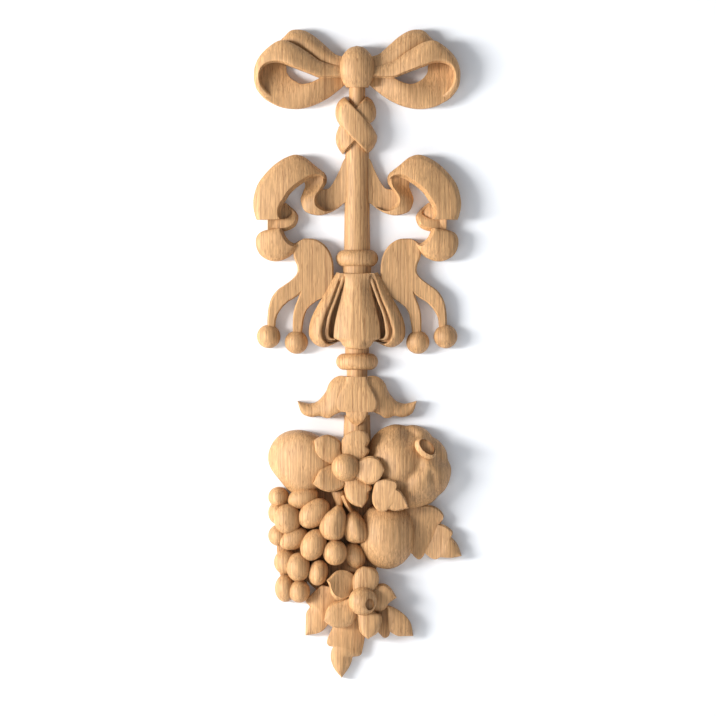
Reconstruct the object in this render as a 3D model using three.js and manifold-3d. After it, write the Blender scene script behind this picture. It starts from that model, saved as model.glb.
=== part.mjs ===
// Carved oak drop: a bow over a half-round pole with ribbon tails, beads, a fluted bell, a winged
// calyx and a cluster of fruit, flowers and leaves. One piece of wood with a flat back.
// Millimetres. While it is being shaped the piece lies on its back: x across, y up its length,
// z out of the back plane. At the end it is stood up: +Z up, front towards -Y, back on y = 0.
// The origin is on the back, level with the upper face of the lower bead.
import * as THREE from 'three';
import { mergeVertices } from 'three/addons/utils/BufferGeometryUtils.js';
import Module from 'manifold-3d';

// Lengths up the piece, mm
const bowHeight = 60.9;
const bowNeckLength = 15;
const wrapHeight = 46.6;
const poleLength = 73.1;
const upperBeadHeight = 13.1;
const collarHeight = 6.6;
const bellHeight = 59.7;
const bellNeckLength = 3.1;
const lowerBeadHeight = 12.6;
const calyxNeckLength = 5.4;
const calyxHeight = 39.3;
const stemLength = 41;
const ribbonHeight = 153.3;
const fruitHeight = 191;

// Widths across the piece, mm
const bowNeckWidth = 12.6;
const poleTopWidth = 17.8;
const poleFootWidth = 20.2;
const beadWidth = 32.4;
const collarWidth = 21.8;
const bellNeckWidth = 18.4;
const calyxNeckWidth = 15.8;
const stemWidth = 19.8;
const outerBallWidth = 18.2;
const innerBallWidth = 17.9;

// Heights of the carving above the back, mm
const bowRelief = 24;
const wrapRelief = 19;
const poleRelief = 13;
const beadRelief = 18;
const collarRelief = 14;
const neckRelief = 12;
const ribbonRelief = 20;
const ballRelief = 14;
const bellRelief = 24;
const calyxRelief = 20;
const stemRelief = 15;
const fruitRelief = 36;

// Smoothness: rows along a band and columns across it, segments round a fruit
const rowScale = 0.66;
const roundSegments = 12;
const domeRings = 3;

// Depth that every form reaches below the back plane before the back is planed flat
const belowBack = 3;

// Levels along the piece, from the origin up and down
const bellFootY = bellNeckLength;
const collarFootY = bellFootY + bellHeight;
const upperBeadFootY = collarFootY + collarHeight - 2.7;
const poleFootY = upperBeadFootY + upperBeadHeight;
const wrapY = poleFootY + poleLength + wrapHeight * 0.463;
const knotY = wrapY + wrapHeight * 0.51 + bowNeckLength + bowHeight * 0.12;
const lowerBeadFootY = -lowerBeadHeight;
const calyxTopY = lowerBeadFootY - calyxNeckLength;
const fruitY = calyxTopY - calyxHeight - 1.5;
const ribbonTopY = poleFootY + poleLength;

const wasm = await Module();
wasm.setup();

// A closed geometry as a solid with its faces outward
function solidOf(geometry) {
  const bare = geometry.index ? geometry.toNonIndexed() : geometry;
  bare.deleteAttribute('normal');
  bare.deleteAttribute('uv');
  const merged = mergeVertices(bare, 1e-3);
  const position = merged.attributes.position.array;
  const index = merged.index.array;
  const corner = (i) => new THREE.Vector3().fromArray(position, 3 * i);
  const faces = [];
  let volume = 0;
  for (let i = 0; i < index.length; i += 3) {
    const [a, b, c] = [index[i], index[i + 1], index[i + 2]];
    if (a === b || b === c || c === a) continue;
    faces.push([a, b, c]);
    volume += corner(a).dot(corner(b).cross(corner(c)));
  }
  const outward = faces.map(([a, b, c]) => (volume > 0 ? [a, b, c] : [a, c, b]));
  return new wasm.Manifold(new wasm.Mesh({
    numProp: 3,
    vertProperties: new Float32Array(position),
    triVerts: new Uint32Array(outward.flat()),
  }));
}

// A smooth line through a few values at even steps, read at s from 0 to 1
function through(values, s) {
  if (values.length === 1) return values[0];
  const curve = new THREE.SplineCurve(values.map((value, i) => new THREE.Vector2(i, value)));
  return curve.getPoint(s).y;
}

// Points along the edge of a form: a smooth curve through its points, with a sharp corner
// wherever a point is given twice
function edgePoints(points, steps) {
  const runs = [[points[0]]];
  for (let i = 1; i < points.length; i += 1) {
    const [before, here] = [points[i - 1], points[i]];
    if (before[0] === here[0] && before[1] === here[1]) runs.push([here]);
    else runs.at(-1).push(here);
  }
  const curves = runs.map((run) => new THREE.CatmullRomCurve3(
    run.map(([x, y]) => new THREE.Vector3(x, y, 0)), false, 'centripetal'));
  const lengths = curves.map((curve) => curve.getLength());
  const total = lengths.reduce((sum, length) => sum + length, 0);
  let left = steps;
  let rest = total;
  const out = [curves[0].getPoint(0)];
  curves.forEach((curve, i) => {
    const last = i === curves.length - 1;
    const spare = curves.length - 1 - i;
    const wanted = Math.round(left * lengths[i] / rest);
    const count = last ? left : Math.min(Math.max(wanted, 1), left - spare);
    for (let k = 1; k <= count; k += 1) out.push(curve.getPointAt(k / count));
    left -= count;
    rest -= lengths[i];
  });
  return out;
}

// Places a form of one group: its points are hundredths of the group's height, its levels
// hundredths of the group's relief, and side -1 mirrors it across the middle of the piece
function group(middleY, height, relief, side = 1) {
  const unit = height / 100;
  return {
    at: (x, y) => [side * x * unit, middleY + y * unit],
    length: (value) => value * unit,
    level: (value) => value * relief / 100,
    side,
  };
}

// A band between two edges. Its top surface runs through the levels given at even steps along
// its left edge, its middle and its right edge; its sides drop straight to the back.
// round makes the section an arch instead of a shallow curve; lip turns the named edges down.
function band(place, { left, right, levels, rows, columns = 3, round = false, lip = {} }) {
  const steps = Math.max(2, Math.round(rows * rowScale));
  const leftEdge = edgePoints(left.map(([x, y]) => place.at(x, y)), steps);
  const rightEdge = edgePoints(right.map(([x, y]) => place.at(x, y)), steps);
  const [leftLevels, middleLevels, rightLevels] = levels;
  const geometry = new THREE.BoxGeometry(1, 1, 1, columns, steps, 1).toNonIndexed();
  const vertex = geometry.attributes.position;
  for (let i = 0; i < vertex.count; i += 1) {
    const s = vertex.getY(i) + 0.5;
    const even = 2 * vertex.getX(i);
    const t = round ? Math.sin(even * Math.PI / 2) : even * (1.3 - 0.3 * even * even);
    const row = Math.round(s * steps);
    const spot = leftEdge[row].clone().lerp(rightEdge[row], (t + 1) / 2);
    const leftZ = through(leftLevels, s);
    const rightZ = through(rightLevels, s);
    const chord = THREE.MathUtils.lerp(leftZ, rightZ, (t + 1) / 2);
    const arch = round ? Math.sqrt(Math.max(0, 1 - t * t)) : 1 - t * t;
    let z = chord + (through(middleLevels, s) - (leftZ + rightZ) / 2) * arch;
    if (even < -0.999) z -= lip.left ?? 0;
    if (even > 0.999) z -= lip.right ?? 0;
    const top = Math.max(place.level(z), 0.5);
    vertex.setXYZ(i, spot.x, spot.y, vertex.getZ(i) > 0 ? top : -belowBack);
  }
  return solidOf(geometry);
}

// A turned form lying half sunk in the back plane: pairs of level along the piece and width
function turned(profile, relief, shoulder = 0.25, columns = 6) {
  const geometry = new THREE.BoxGeometry(1, 1, 1, columns, profile.length - 1, 1).toNonIndexed();
  const widest = Math.max(...profile.map(([, width]) => width));
  const vertex = geometry.attributes.position;
  for (let i = 0; i < vertex.count; i += 1) {
    const row = Math.round((vertex.getY(i) + 0.5) * (profile.length - 1));
    const [y, width] = profile[row];
    const t = Math.sin(vertex.getX(i) * Math.PI);
    const arch = Math.sqrt(Math.max(0, 1 - t * t)) * width / widest;
    const top = relief * (shoulder + (1 - shoulder) * arch);
    vertex.setXYZ(i, t * width / 2, y, vertex.getZ(i) > 0 ? top : -belowBack);
  }
  return solidOf(geometry);
}

// A round-topped form: half widths along and across, top and shoulder levels, a turn in
// degrees, and functions that swell its outline or groove its top. Its facets meet at its peak,
// which can be named where it is not the middle.
function dome(place, form) {
  const { x, y, wide, high, top, shoulder, turn = 0, peak = [x, y] } = form;
  const { outline = () => 1, groove = () => 0, segments = roundSegments, rings = domeRings } = form;
  const profile = [];
  for (let i = 0; i <= rings; i += 1) {
    profile.push(new THREE.Vector2(i === 0 ? 0 : Math.sin(i / rings * Math.PI / 2), 1));
  }
  profile.push(new THREE.Vector2(1, 0));
  profile.push(new THREE.Vector2(0, 0));
  const geometry = new THREE.LatheGeometry(profile, segments).toNonIndexed();
  const vertex = geometry.attributes.position;
  const bend = turn * Math.PI / 180;
  const fill = 0.5 + 0.5 / Math.cos(Math.PI / segments);
  const swell = (angle) => fill * outline(angle);
  for (let i = 0; i < vertex.count; i += 1) {
    const reach = Math.hypot(vertex.getX(i), vertex.getZ(i));
    const angle = Math.atan2(vertex.getX(i), vertex.getZ(i));
    const across = swell(angle) * wide * Math.cos(angle);
    const up = swell(angle) * high * Math.sin(angle);
    const edgeX = x + across * Math.cos(bend) - up * Math.sin(bend);
    const edgeY = y + across * Math.sin(bend) + up * Math.cos(bend);
    const px = THREE.MathUtils.lerp(peak[0], edgeX, reach);
    const py = THREE.MathUtils.lerp(peak[1], edgeY, reach);
    const along = ((px - x) * Math.cos(bend) + (py - y) * Math.sin(bend)) / wide;
    const aside = ((py - y) * Math.cos(bend) - (px - x) * Math.sin(bend)) / high;
    const outness = Math.hypot(along, aside) / swell(Math.atan2(aside, along));
    const arch = reach > 0.999 ? 0 : Math.sqrt(Math.max(0, 1 - outness * outness));
    const spot = place.at(px, py);
    const rise = shoulder + (top - shoulder) * arch - groove(px, py, reach);
    vertex.setXYZ(i, spot[0], spot[1], vertex.getY(i) < 0.5 ? -belowBack : place.level(rise));
  }
  return solidOf(geometry);
}

// A dip in a ring of bumps, deepest at each angle listed, in degrees
function dips(angle, list, depth, width) {
  let sum = 0;
  for (const degrees of list) {
    const away = THREE.MathUtils.euclideanModulo(angle * 180 / Math.PI - degrees + 180, 360) - 180;
    sum += depth * Math.exp(-((away / width) ** 2));
  }
  return sum;
}

const forms = [];
const sides = [-1, 1];

// Bow: each loop has a rear lobe, a hollow with an open eye, and a front band with a lip
for (const side of sides) {
  const bow = group(knotY, bowHeight, bowRelief, side);
  forms.push(band(bow, {
    left: [
      [17, 12.7], [27.1, 15.8], [41, 27.8], [53.7, 38.6], [66.3, 45.6], [75.2, 47.1],
      [84.1, 45.6], [92.9, 37.3], [100.5, 30.4]
    ],
    right: [
      [17, -3.8], [30.9, 0], [44.8, 3.8], [57.5, 11.4], [68.9, 19], [77.7, 22.8], [86.6, 25.3],
      [94.2, 26.6], [100.5, 26.6]
    ],
    levels: [[46, 38, 38, 38, 33], [58, 58, 62, 58, 42], [62, 58, 58, 54, 46]],
    rows: 9,
  }));
  forms.push(band(bow, {
    left: [
      [120.8, 12.7], [104.3, 13.9], [94.2, 8.9], [89.7, 1.3], [89.1, -6.3], [84.1, -13.9],
      [79, -17.7], [70.1, -21.5], [60, -20.3], [52.4, -17.1], [42.3, -11.4], [29.6, -5.1],
      [14.4, -1.3]
    ],
    right: [
      [125.8, 7.6], [129.6, -3.8], [129.6, -16.5], [126.5, -26.6], [119.5, -37.3],
      [110.6, -44.3], [98, -50.3], [82.8, -53.2], [68.9, -52.5], [53.7, -48.1], [38.5, -40.5],
      [24.6, -30.4], [14.4, -21.5]
    ],
    levels: [[21, 21, 25, 46, 54, 54, 50], [17, 17, 25, 46, 58, 58, 54], [25, 33, 42, 42, 38, 38, 42]],
    rows: 14,
  }));
  forms.push(band(bow, {
    left: [
      [14.4, 1.3], [27.1, 1.9], [37.2, 4.2], [47.3, 7.6], [60, 16.5], [75.2, 25.9], [87.8, 31.6],
      [98, 32.5], [110.6, 25.3], [123.3, 12.7], [129.2, 0], [130.5, -11.4], [128.4, -25.3],
      [123.3, -33.5], [115.7, -41.1], [104.3, -47.5]
    ],
    right: [
      [14.4, -13.3], [27.1, -13.9], [37.2, -14.6], [47.3, -13.9], [60, -8.9], [72.7, -4.1],
      [85.3, 0.6], [98, 5.1], [110.6, 4.4], [118.2, 0.6], [122.7, -6.3], [123.7, -13.9],
      [121.6, -22.8], [117.6, -29.1], [110.6, -36.1], [101.8, -41.1]
    ],
    levels: [[58, 54, 62, 71, 62, 50, 42, 38], [67, 58, 71, 92, 88, 75, 62, 50],
      [58, 54, 67, 88, 83, 75, 67, 50]],
    rows: 18,
    columns: 4,
    lip: { right: 5 },
  }));
}

// Knot of the bow, an egg with a flat foot
const knotWidth = bowHeight * 0.435;
const knot = [];
for (const [share, width] of [[0.26, 0.05], [0.235, 0.42], [0.19, 0.66], [0.13, 0.86], [0.05, 0.97],
  [-0.04, 1], [-0.12, 0.95], [-0.19, 0.83], [-0.26, 0.64]]) {
  knot.push([knotY + share * bowHeight, width * knotWidth]);
}
forms.push(turned(knot, bowRelief, 0.2));

// Neck between the knot and the wrap
forms.push(turned([[knotY, bowNeckWidth], [wrapY, bowNeckWidth]], neckRelief));

// Wrap: two bands crossing over the pole, the rear one rising to the right
const wrap = group(wrapY, wrapHeight, wrapRelief);
forms.push(band(wrap, {
  left: [[-30.4, 0], [-34.5, -11.6], [-35.4, -21.5], [-33.7, -29.8], [-29.6, -38], [-23.8, -45.5]],
  right: [[15.9, 50.4], [23.3, 45.5], [28.3, 38], [31.6, 26.4], [29.9, 13.2], [22.5, 6.6]],
  levels: [[26, 32, 26], [84, 84, 84], [26, 32, 26]],
  rows: 8,
  columns: 6,
  round: true,
}));
forms.push(band(wrap, {
  left: [[-21.3, 49.6], [-28.8, 43.8], [-33.7, 36.4], [-35.9, 26.4], [-35, 14.9], [-28.8, 2.5]],
  right: [[24.1, 1.7], [29.1, -6.6], [33.4, -16.5], [30.7, -28.1], [25.8, -36.4], [17.5, -44.6]],
  levels: [[26, 32, 26], [100, 100, 100], [26, 32, 26]],
  rows: 8,
  columns: 6,
  round: true,
}));

// Pole, a half round that widens towards its foot
forms.push(turned([
  [poleFootY - 1, poleFootWidth],
  [wrapY, poleTopWidth],
], poleRelief));

// Ribbon tails: web, curl, scroll, fold, lower lobe and the forked tail with its two balls
for (const side of sides) {
  const ribbon = group(ribbonTopY, ribbonHeight, ribbonRelief, side);
  forms.push(band(ribbon, {
    left: [
      [0.2, 2.51], [6.23, -2.01], [8.74, -7.54], [11.76, -13.57], [14.27, -16.83],
      [18.29, -17.59], [21.81, -19.1]
    ],
    right: [
      [0.2, -22.61], [6.23, -24.12], [8.74, -26.13], [11.76, -28.14], [14.77, -29.15],
      [18.29, -28.64], [21.81, -25.63]
    ],
    levels: [[40, 40, 30, 20], [45, 45, 35, 20], [40, 40, 40, 25]],
    rows: 8,
  }));
  forms.push(band(ribbon, {
    left: [
      [29.35, -10.55], [26.83, -13.07], [26.08, -15.58], [27.34, -19.1], [28.34, -22.11],
      [27.84, -25.13], [26.33, -28.14], [22.81, -29.85], [18.79, -30.4], [13.77, -29.15],
      [9.25, -26.63]
    ],
    right: [
      [16.78, -8.54], [15.28, -11.06], [15.43, -14.07], [17.29, -17.09], [19.4, -19.6],
      [20.05, -22.11], [19.5, -24.37], [17.79, -26.13], [15.78, -27.39], [12.76, -27.39],
      [9.25, -25.88]
    ],
    levels: [[40, 35, 45, 65, 55, 40], [70, 55, 65, 75, 60, 40], [70, 60, 60, 70, 55, 40]],
    rows: 14,
  }));
  forms.push(band(ribbon, {
    left: [
      [15.28, -12.06], [16.53, -9.3], [21.31, -5.28], [26.33, -1.26], [30.85, 0], [35.88, -1.51],
      [41.41, -5.03], [46.43, -10.05], [49.95, -15.08], [51.71, -20.6], [52.21, -25.13],
      [51.46, -29.65], [50.45, -32.66]
    ],
    right: [
      [17.04, -12.06], [19.3, -11.36], [23.32, -11.96], [25.83, -13.32], [28.84, -15.33],
      [31.36, -17.34], [33.62, -19.6], [35.38, -22.36], [37.14, -25.13], [38.14, -27.64],
      [38.29, -29.9], [37.79, -31.41], [36.88, -32.41]
    ],
    levels: [[50, 50, 50, 50, 55, 65], [65, 80, 90, 90, 90, 90], [65, 85, 95, 95, 90, 80]],
    rows: 15,
    columns: 4,
    lip: { right: 12, left: 6 },
  }));
  forms.push(band(ribbon, {
    left: [[44.92, -30.65], [44.92, -34.17], [44.92, -38.19]],
    right: [[35.88, -23.92], [33.37, -26.13], [31.61, -29.15], [32.36, -33.67], [36.88, -37.94]],
    levels: [[30, 40, 40], [25, 40, 45], [20, 45, 45]],
    rows: 6,
  }));
  forms.push(band(ribbon, {
    left: [
      [37.39, -24.17], [33.62, -25.98], [31.11, -28.14], [29.5, -30.9], [29.85, -33.67],
      [31.11, -35.93], [33.37, -37.44], [36.88, -38.44], [41.41, -38.44], [44.77, -38.19]
    ],
    right: [
      [36.88, -25.73], [34.62, -26.88], [33.12, -28.39], [32.86, -29.65], [34.37, -30.9],
      [36.63, -31.91], [39.4, -31.96], [41.41, -31.66], [43.42, -31.66], [44.77, -31.66]
    ],
    levels: [[30, 45, 45, 45, 45], [30, 60, 65, 60, 50], [30, 60, 60, 55, 50]],
    rows: 14,
  }));
  forms.push(band(ribbon, {
    left: [
      [42.91, -37.34], [46.43, -38.04], [49.2, -39.45], [50.7, -41.96], [50.7, -45.73],
      [49.2, -49.5], [46.43, -52.01], [42.41, -53.42], [38.39, -53.17], [34.37, -51.36],
      [31.36, -48.89], [28.34, -45.73]
    ],
    right: [
      [37.24, -36.83], [36.98, -37.94], [36.38, -39.7], [35.58, -41.21], [34.37, -42.71],
      [32.96, -43.87], [31.86, -44.32], [30.85, -44.22], [29.85, -43.47], [28.34, -42.71]
    ],
    levels: [[55, 50, 45, 40, 35], [75, 80, 75, 65, 40], [75, 80, 75, 65, 40]],
    rows: 11,
    lip: { right: 10, left: 5 },
  }));
  forms.push(band(ribbon, {
    left: [
      [31.86, -45.73], [31.86, -51.26], [30.1, -55.78], [30.1, -59.3], [32.36, -62.31],
      [36.38, -65.33], [39.9, -67.84], [42.66, -71.36], [44.17, -75.38], [44.92, -80.4],
      [45.03, -91.96]
    ],
    right: [
      [27.34, -42.21], [23.82, -48.74], [22.81, -55.78], [24.32, -61.81], [26.83, -67.84],
      [30.35, -71.11], [34.37, -73.62], [37.14, -76.13], [39.15, -78.89], [40.5, -81.91],
      [41.41, -91.96]
    ],
    levels: [[35, 40, 35, 30, 30], [45, 55, 55, 45, 40], [45, 55, 55, 40, 35]],
    rows: 13,
    lip: { left: 5 },
  }));
  forms.push(band(ribbon, {
    left: [
      [31.36, -45.73], [29.85, -50.25], [29.35, -54.77], [29.85, -59.8], [29.85, -64.82],
      [28.84, -68.99], [29.7, -72.36], [31.11, -75.88], [31.96, -79.4], [32.26, -82.91],
      [32.21, -94.47]
    ],
    right: [
      [26.83, -42.01], [21.31, -42.31], [17.29, -44.37], [14.27, -47.74], [12.26, -52.76],
      [11.76, -58.79], [12.01, -64.82], [15.03, -70.35], [20.55, -73.62], [25.33, -78.14],
      [28.44, -94.47]
    ],
    levels: [[45, 55, 55, 45, 40], [50, 60, 60, 50, 45], [35, 30, 30, 30, 30]],
    rows: 13,
    lip: { right: 4 },
  }));
  const ballAt = (x, y, width) => dome(ribbon, {
    x,
    y,
    wide: width / ribbon.length(2),
    high: width / ribbon.length(2),
    top: 100 * ballRelief / ribbonRelief,
    shoulder: 25,
  });
  forms.push(ballAt(44.42, -91.21, outerBallWidth));
  forms.push(ballAt(30.5, -94.12, innerBallWidth));
}

// A bead: a flattened ring with a rounded rim, from its foot level up
function bead(foot, height, width, relief) {
  const profile = [];
  for (let i = 0; i <= 5; i += 1) {
    const angle = Math.PI * (i / 5 - 0.5);
    profile.push([foot + height / 2 * (1 + Math.sin(angle)), width - height * (1 - Math.cos(angle))]);
  }
  return turned(profile, relief, 0.2, 8);
}
forms.push(bead(upperBeadFootY, upperBeadHeight, beadWidth, beadRelief));
forms.push(bead(lowerBeadFootY, lowerBeadHeight, beadWidth, beadRelief));
forms.push(turned([
  [collarFootY - bellHeight * 0.1, collarWidth * 0.92],
  [collarFootY, collarWidth],
  [upperBeadFootY + 1, collarWidth],
], collarRelief));
forms.push(turned([[-1, bellNeckWidth], [bellFootY + 3, bellNeckWidth]], neckRelief));
forms.push(turned([[calyxTopY - 3, calyxNeckWidth], [lowerBeadFootY + 1, calyxNeckWidth]], neckRelief));

// Bell: a middle lobe over a floor, with a thin rib and a broad petal on each side
const lobe = [];
for (const [share, width] of [[0, 0.31], [0.045, 0.34], [0.085, 0.44], [0.13, 0.54], [0.18, 0.6],
  [0.3, 0.56], [0.45, 0.48], [0.65, 0.39], [0.9, 0.335], [1, 0.34]]) {
  lobe.push([bellFootY + share * bellHeight, width * bellHeight * 0.96]);
}
forms.push(turned(lobe, bellRelief, 0.42, 6));
for (const side of sides) {
  const bell = group(bellFootY, bellHeight, bellRelief, side);
  forms.push(band(bell, {
    left: [
      [22.5, 98.1], [30.2, 76.8], [40.5, 53.5], [47, 35.5], [49.5, 20], [47, 11], [40.5, 6.2],
      [23.7, 7.1]
    ],
    right: [[0, 98.1], [0, 83.2], [0, 63.9], [0, 44.5], [0, 25.2], [0, 14.8], [0, 7.1]],
    levels: [[33, 38, 33], [33, 38, 33], [33, 38, 33]],
    rows: 10,
    columns: 2,
  }));
  forms.push(band(bell, {
    left: [
      [26.3, 99.4], [32.8, 89.7], [43.1, 70.3], [53.4, 52.3], [59.5, 38.7], [62.2, 25.2],
      [61.4, 16.8], [57.9, 10.1], [52.1, 5.2], [45, 2.6], [37.9, 2.8], [31.5, 5.4], [23.7, 10.3]
    ],
    right: [
      [19.9, 98.7], [23, 89.7], [30.2, 69], [37.3, 49.7], [41.8, 35.5], [43.7, 25.2],
      [43.7, 18.7], [42.1, 13.2], [39.2, 9.7], [36, 7.9], [32.1, 7.4], [28.3, 8.4], [23.7, 11]
    ],
    levels: [[33, 33, 33, 33, 25], [50, 67, 79, 79, 46], [46, 58, 71, 71, 42]],
    rows: 13,
  }));
  forms.push(band(bell, {
    left: [
      [18.6, 96.1], [22.1, 85.8], [27.9, 67.7], [34.1, 47.7], [38.6, 32.9], [40.5, 23.9],
      [39.9, 17.4], [37, 13], [32.8, 11.5], [27.6, 11.9], [22.5, 14.2]
    ],
    right: [
      [14.7, 94.8], [18.8, 81.9], [24, 66.5], [29.5, 47.1], [33.7, 32.9], [35.6, 23.9],
      [35.4, 19.2], [33.7, 16.1], [30.8, 15.4], [27, 16.4], [22.5, 18.7]
    ],
    levels: [[46, 54, 58, 54], [50, 62, 67, 58], [46, 54, 58, 54]],
    rows: 11,
    columns: 2,
  }));
}

// Calyx: two wings that sweep out and curl up at the tip, and three lobes over the stem
for (const side of sides) {
  const calyx = group(calyxTopY, calyxHeight, calyxRelief, side);
  forms.push(band(calyx, {
    left: [
      [14.5, 0], [34.1, 2], [45.9, -2.9], [54.7, -12.7], [60.6, -27.5], [67.5, -37.3],
      [78.2, -48], [92.9, -52.2], [106.7, -49.6], [117.3, -46.7]
    ],
    right: [
      [10.6, -60.8], [22.4, -64.7], [34.1, -69.6], [44.9, -74.5], [53.7, -80.4], [62.5, -80.4],
      [73.3, -76.5], [89, -78.8], [107.6, -71.6], [117.3, -46.7]
    ],
    levels: [[70, 55, 40, 30, 30], [90, 90, 70, 55, 45], [75, 75, 55, 40, 30]],
    rows: 12,
    lip: { left: 8, right: 6 },
  }));
}
const calyxMiddle = group(calyxTopY, calyxHeight, calyxRelief);
const leafEdge = [
  [20.4, 0], [23.7, -13.7], [30.2, -25.5], [36.1, -37.3], [39.6, -49], [38.4, -60.8],
  [32.2, -68.2], [22.9, -68.2], [22.9, -68.2], [19.4, -78.4], [12.5, -89.2], [0, -98]
];
forms.push(band(calyxMiddle, {
  left: leafEdge.map(([x, y]) => [-x, y]),
  right: leafEdge,
  levels: [[80, 80, 75, 70, 55], [90, 100, 100, 90, 65], [80, 80, 75, 70, 55]],
  rows: 12,
}));

// Stem down into the fruit
forms.push(turned([
  [calyxTopY - calyxHeight * 0.75 - stemLength, stemWidth * 1.15],
  [calyxTopY - calyxHeight * 0.75, stemWidth],
], stemRelief));

// Fruit, flowers and leaves
const fruit = group(fruitY, fruitHeight, fruitRelief);

// Leaves behind the fruit: the large leaf on the right and the three at the foot
forms.push(band(fruit, {
  left: [
    [13.95, -39.52], [18.39, -47.18], [21.61, -49.4], [23.23, -51.21], [24.84, -52.22],
    [26.45, -51.21], [27.26, -49.6], [27.26, -49.6], [29.68, -51.61], [31.69, -52.14],
    [33.31, -51.33], [33.31, -51.33], [38.15, -51.49], [42.18, -50.81]
  ],
  right: [
    [13.95, -28.23], [23.23, -30.24], [28.47, -30.24], [31.69, -31.05], [34.11, -33.06],
    [34.92, -35.08], [32.7, -37.5], [32.7, -37.5], [36.13, -38.91], [38.55, -41.13],
    [37.86, -43.15], [37.86, -43.15], [40.36, -45.97], [42.18, -50.81]
  ],
  levels: [[33, 31, 22, 28, 28, 22], [33, 25, 22, 33, 36, 25], [33, 33, 31, 28, 25, 22]],
  rows: 14,
  columns: 4,
}));
forms.push(band(fruit, {
  left: [
    [-14.27, -62.5], [-18.31, -66.13], [-20.73, -69.15], [-19.11, -71.17], [-20.52, -73.79],
    [-20.73, -78.23], [-20.85, -82.86]
  ],
  right: [
    [-5, -64.52], [-6.61, -68.55], [-8.63, -72.58], [-10.65, -76.21], [-12.26, -79.23],
    [-15.08, -81.65], [-20.85, -82.86]
  ],
  levels: [[25, 22, 22, 19], [31, 31, 28, 22], [28, 25, 25, 19]],
  rows: 7,
}));
forms.push(band(fruit, {
  left: [
    [-7.02, -70.16], [-9.84, -79.44], [-11.65, -83.47], [-12.18, -85.89], [-11.05, -87.18],
    [-9.44, -86.9], [-9.44, -86.9], [-10.52, -89.52], [-10.52, -92.74], [-9.23, -96.17],
    [-6.21, -100]
  ],
  right: [
    [5.89, -70.16], [3.47, -80.65], [2.98, -84.68], [2.26, -88.31], [1.45, -90.73],
    [-1.77, -91.53], [-1.77, -91.53], [-2.26, -93.55], [-3.39, -95.97], [-4.8, -97.98],
    [-6.21, -100]
  ],
  levels: [[28, 22, 22, 19, 17], [36, 33, 31, 31, 22], [28, 25, 22, 22, 17]],
  rows: 12,
}));
forms.push(band(fruit, {
  left: [
    [5.08, -70.56], [6.69, -77.42], [9.11, -82.26], [11.13, -83.87], [12.74, -83.06],
    [13.55, -81.45], [13.55, -81.45], [16.37, -82.98], [19.19, -83.06], [22.62, -83.06]
  ],
  right: [
    [7.5, -69.76], [11.53, -70.16], [14.35, -71.37], [17.18, -72.98], [19.6, -75],
    [21.41, -77.42], [22.22, -80.04], [22.62, -83.06]
  ],
  levels: [[25, 22, 19, 25, 22], [33, 17, 28, 33, 22], [33, 28, 28, 22, 19]],
  rows: 10,
}));

// Ground of the cluster, seen only in the hollows between the fruit
forms.push(dome(fruit, {
  x: -7.82,
  y: -39.11,
  wide: 19.35,
  high: 28.23,
  top: 28,
  shoulder: 22,
}));

forms.push(dome(fruit, {
  x: -25.16,
  y: -46.37,
  wide: 7.26,
  high: 20.97,
  top: 28,
  shoulder: 22,
}));

// Pear on the left
forms.push(band(fruit, {
  left: [
    [-19.11, -0.73], [-23.95, 0], [-29.19, -1.01], [-33.02, -3.83], [-35.24, -7.66],
    [-35.89, -11.29], [-35.04, -15.12], [-32.82, -18.35], [-30.81, -20.77], [-28.79, -23.19],
    [-25.97, -25.81]
  ],
  right: [
    [-19.11, -0.73], [-14.68, -3.02], [-10.65, -6.85], [-8.63, -11.29], [-9.44, -15.73],
    [-11.85, -19.35], [-14.68, -22.18], [-17.5, -24.19], [-20.32, -25.6], [-23.15, -26.41],
    [-25.97, -25.81]
  ],
  levels: [[22, 17, 14, 17, 22], [22, 64, 75, 69, 61, 28], [22, 28, 39, 33, 22]],
  rows: 12,
  columns: 5,
  round: true,
}));

// Pomegranate on the right: lobes parted by grooves that meet at its crown
const crown = { x: 27.26, y: -6.85 };
const partings = [53, 127, 176, 240, 281, 325];
forms.push(dome(fruit, {
  x: 21.21,
  y: -14.92,
  wide: 16.94,
  high: 16.94,
  peak: [crown.x, crown.y],
  top: 90,
  shoulder: 18,
  segments: 36,
  rings: 6,
  outline: (angle) => 1 + dips(angle, [135], 0.13, 35) - dips(angle, [40], 0.06, 32)
    - dips(angle, [53, 11, 96], 0.05, 8) - dips(angle, [-45], 0.03, 8),
  groove: (x, y, reach) => {
    const away = Math.hypot(x - crown.x, y - crown.y);
    const fade = Math.min(1, away / 5) * (1 - reach * reach);
    return fade * dips(Math.atan2(y - crown.y, x - crown.x), partings, 12, 15);
  },
}));
const crownRing = dome(fruit, {
  x: crown.x,
  y: crown.y,
  wide: 4.64,
  high: 3.63,
  turn: -45,
  top: 84,
  shoulder: 76,
  segments: 16,
});
const crownHole = dome(fruit, {
  x: crown.x + 0.5,
  y: crown.y + 0.5,
  wide: 2.82,
  high: 1.94,
  turn: -45,
  top: 110,
  shoulder: 100,
  segments: 14,
});
const crownFloor = dome(fruit, {
  x: crown.x,
  y: crown.y,
  wide: 3.63,
  high: 2.82,
  turn: -45,
  top: 62,
  shoulder: 60,
  segments: 14,
  rings: 2,
});

// Apple under the small leaf
forms.push(dome(fruit, {
  x: 11.94,
  y: -42.34,
  wide: 11.49,
  high: 13.71,
  top: 76,
  shoulder: 16,
  segments: 24,
  rings: 5,
}));

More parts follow.
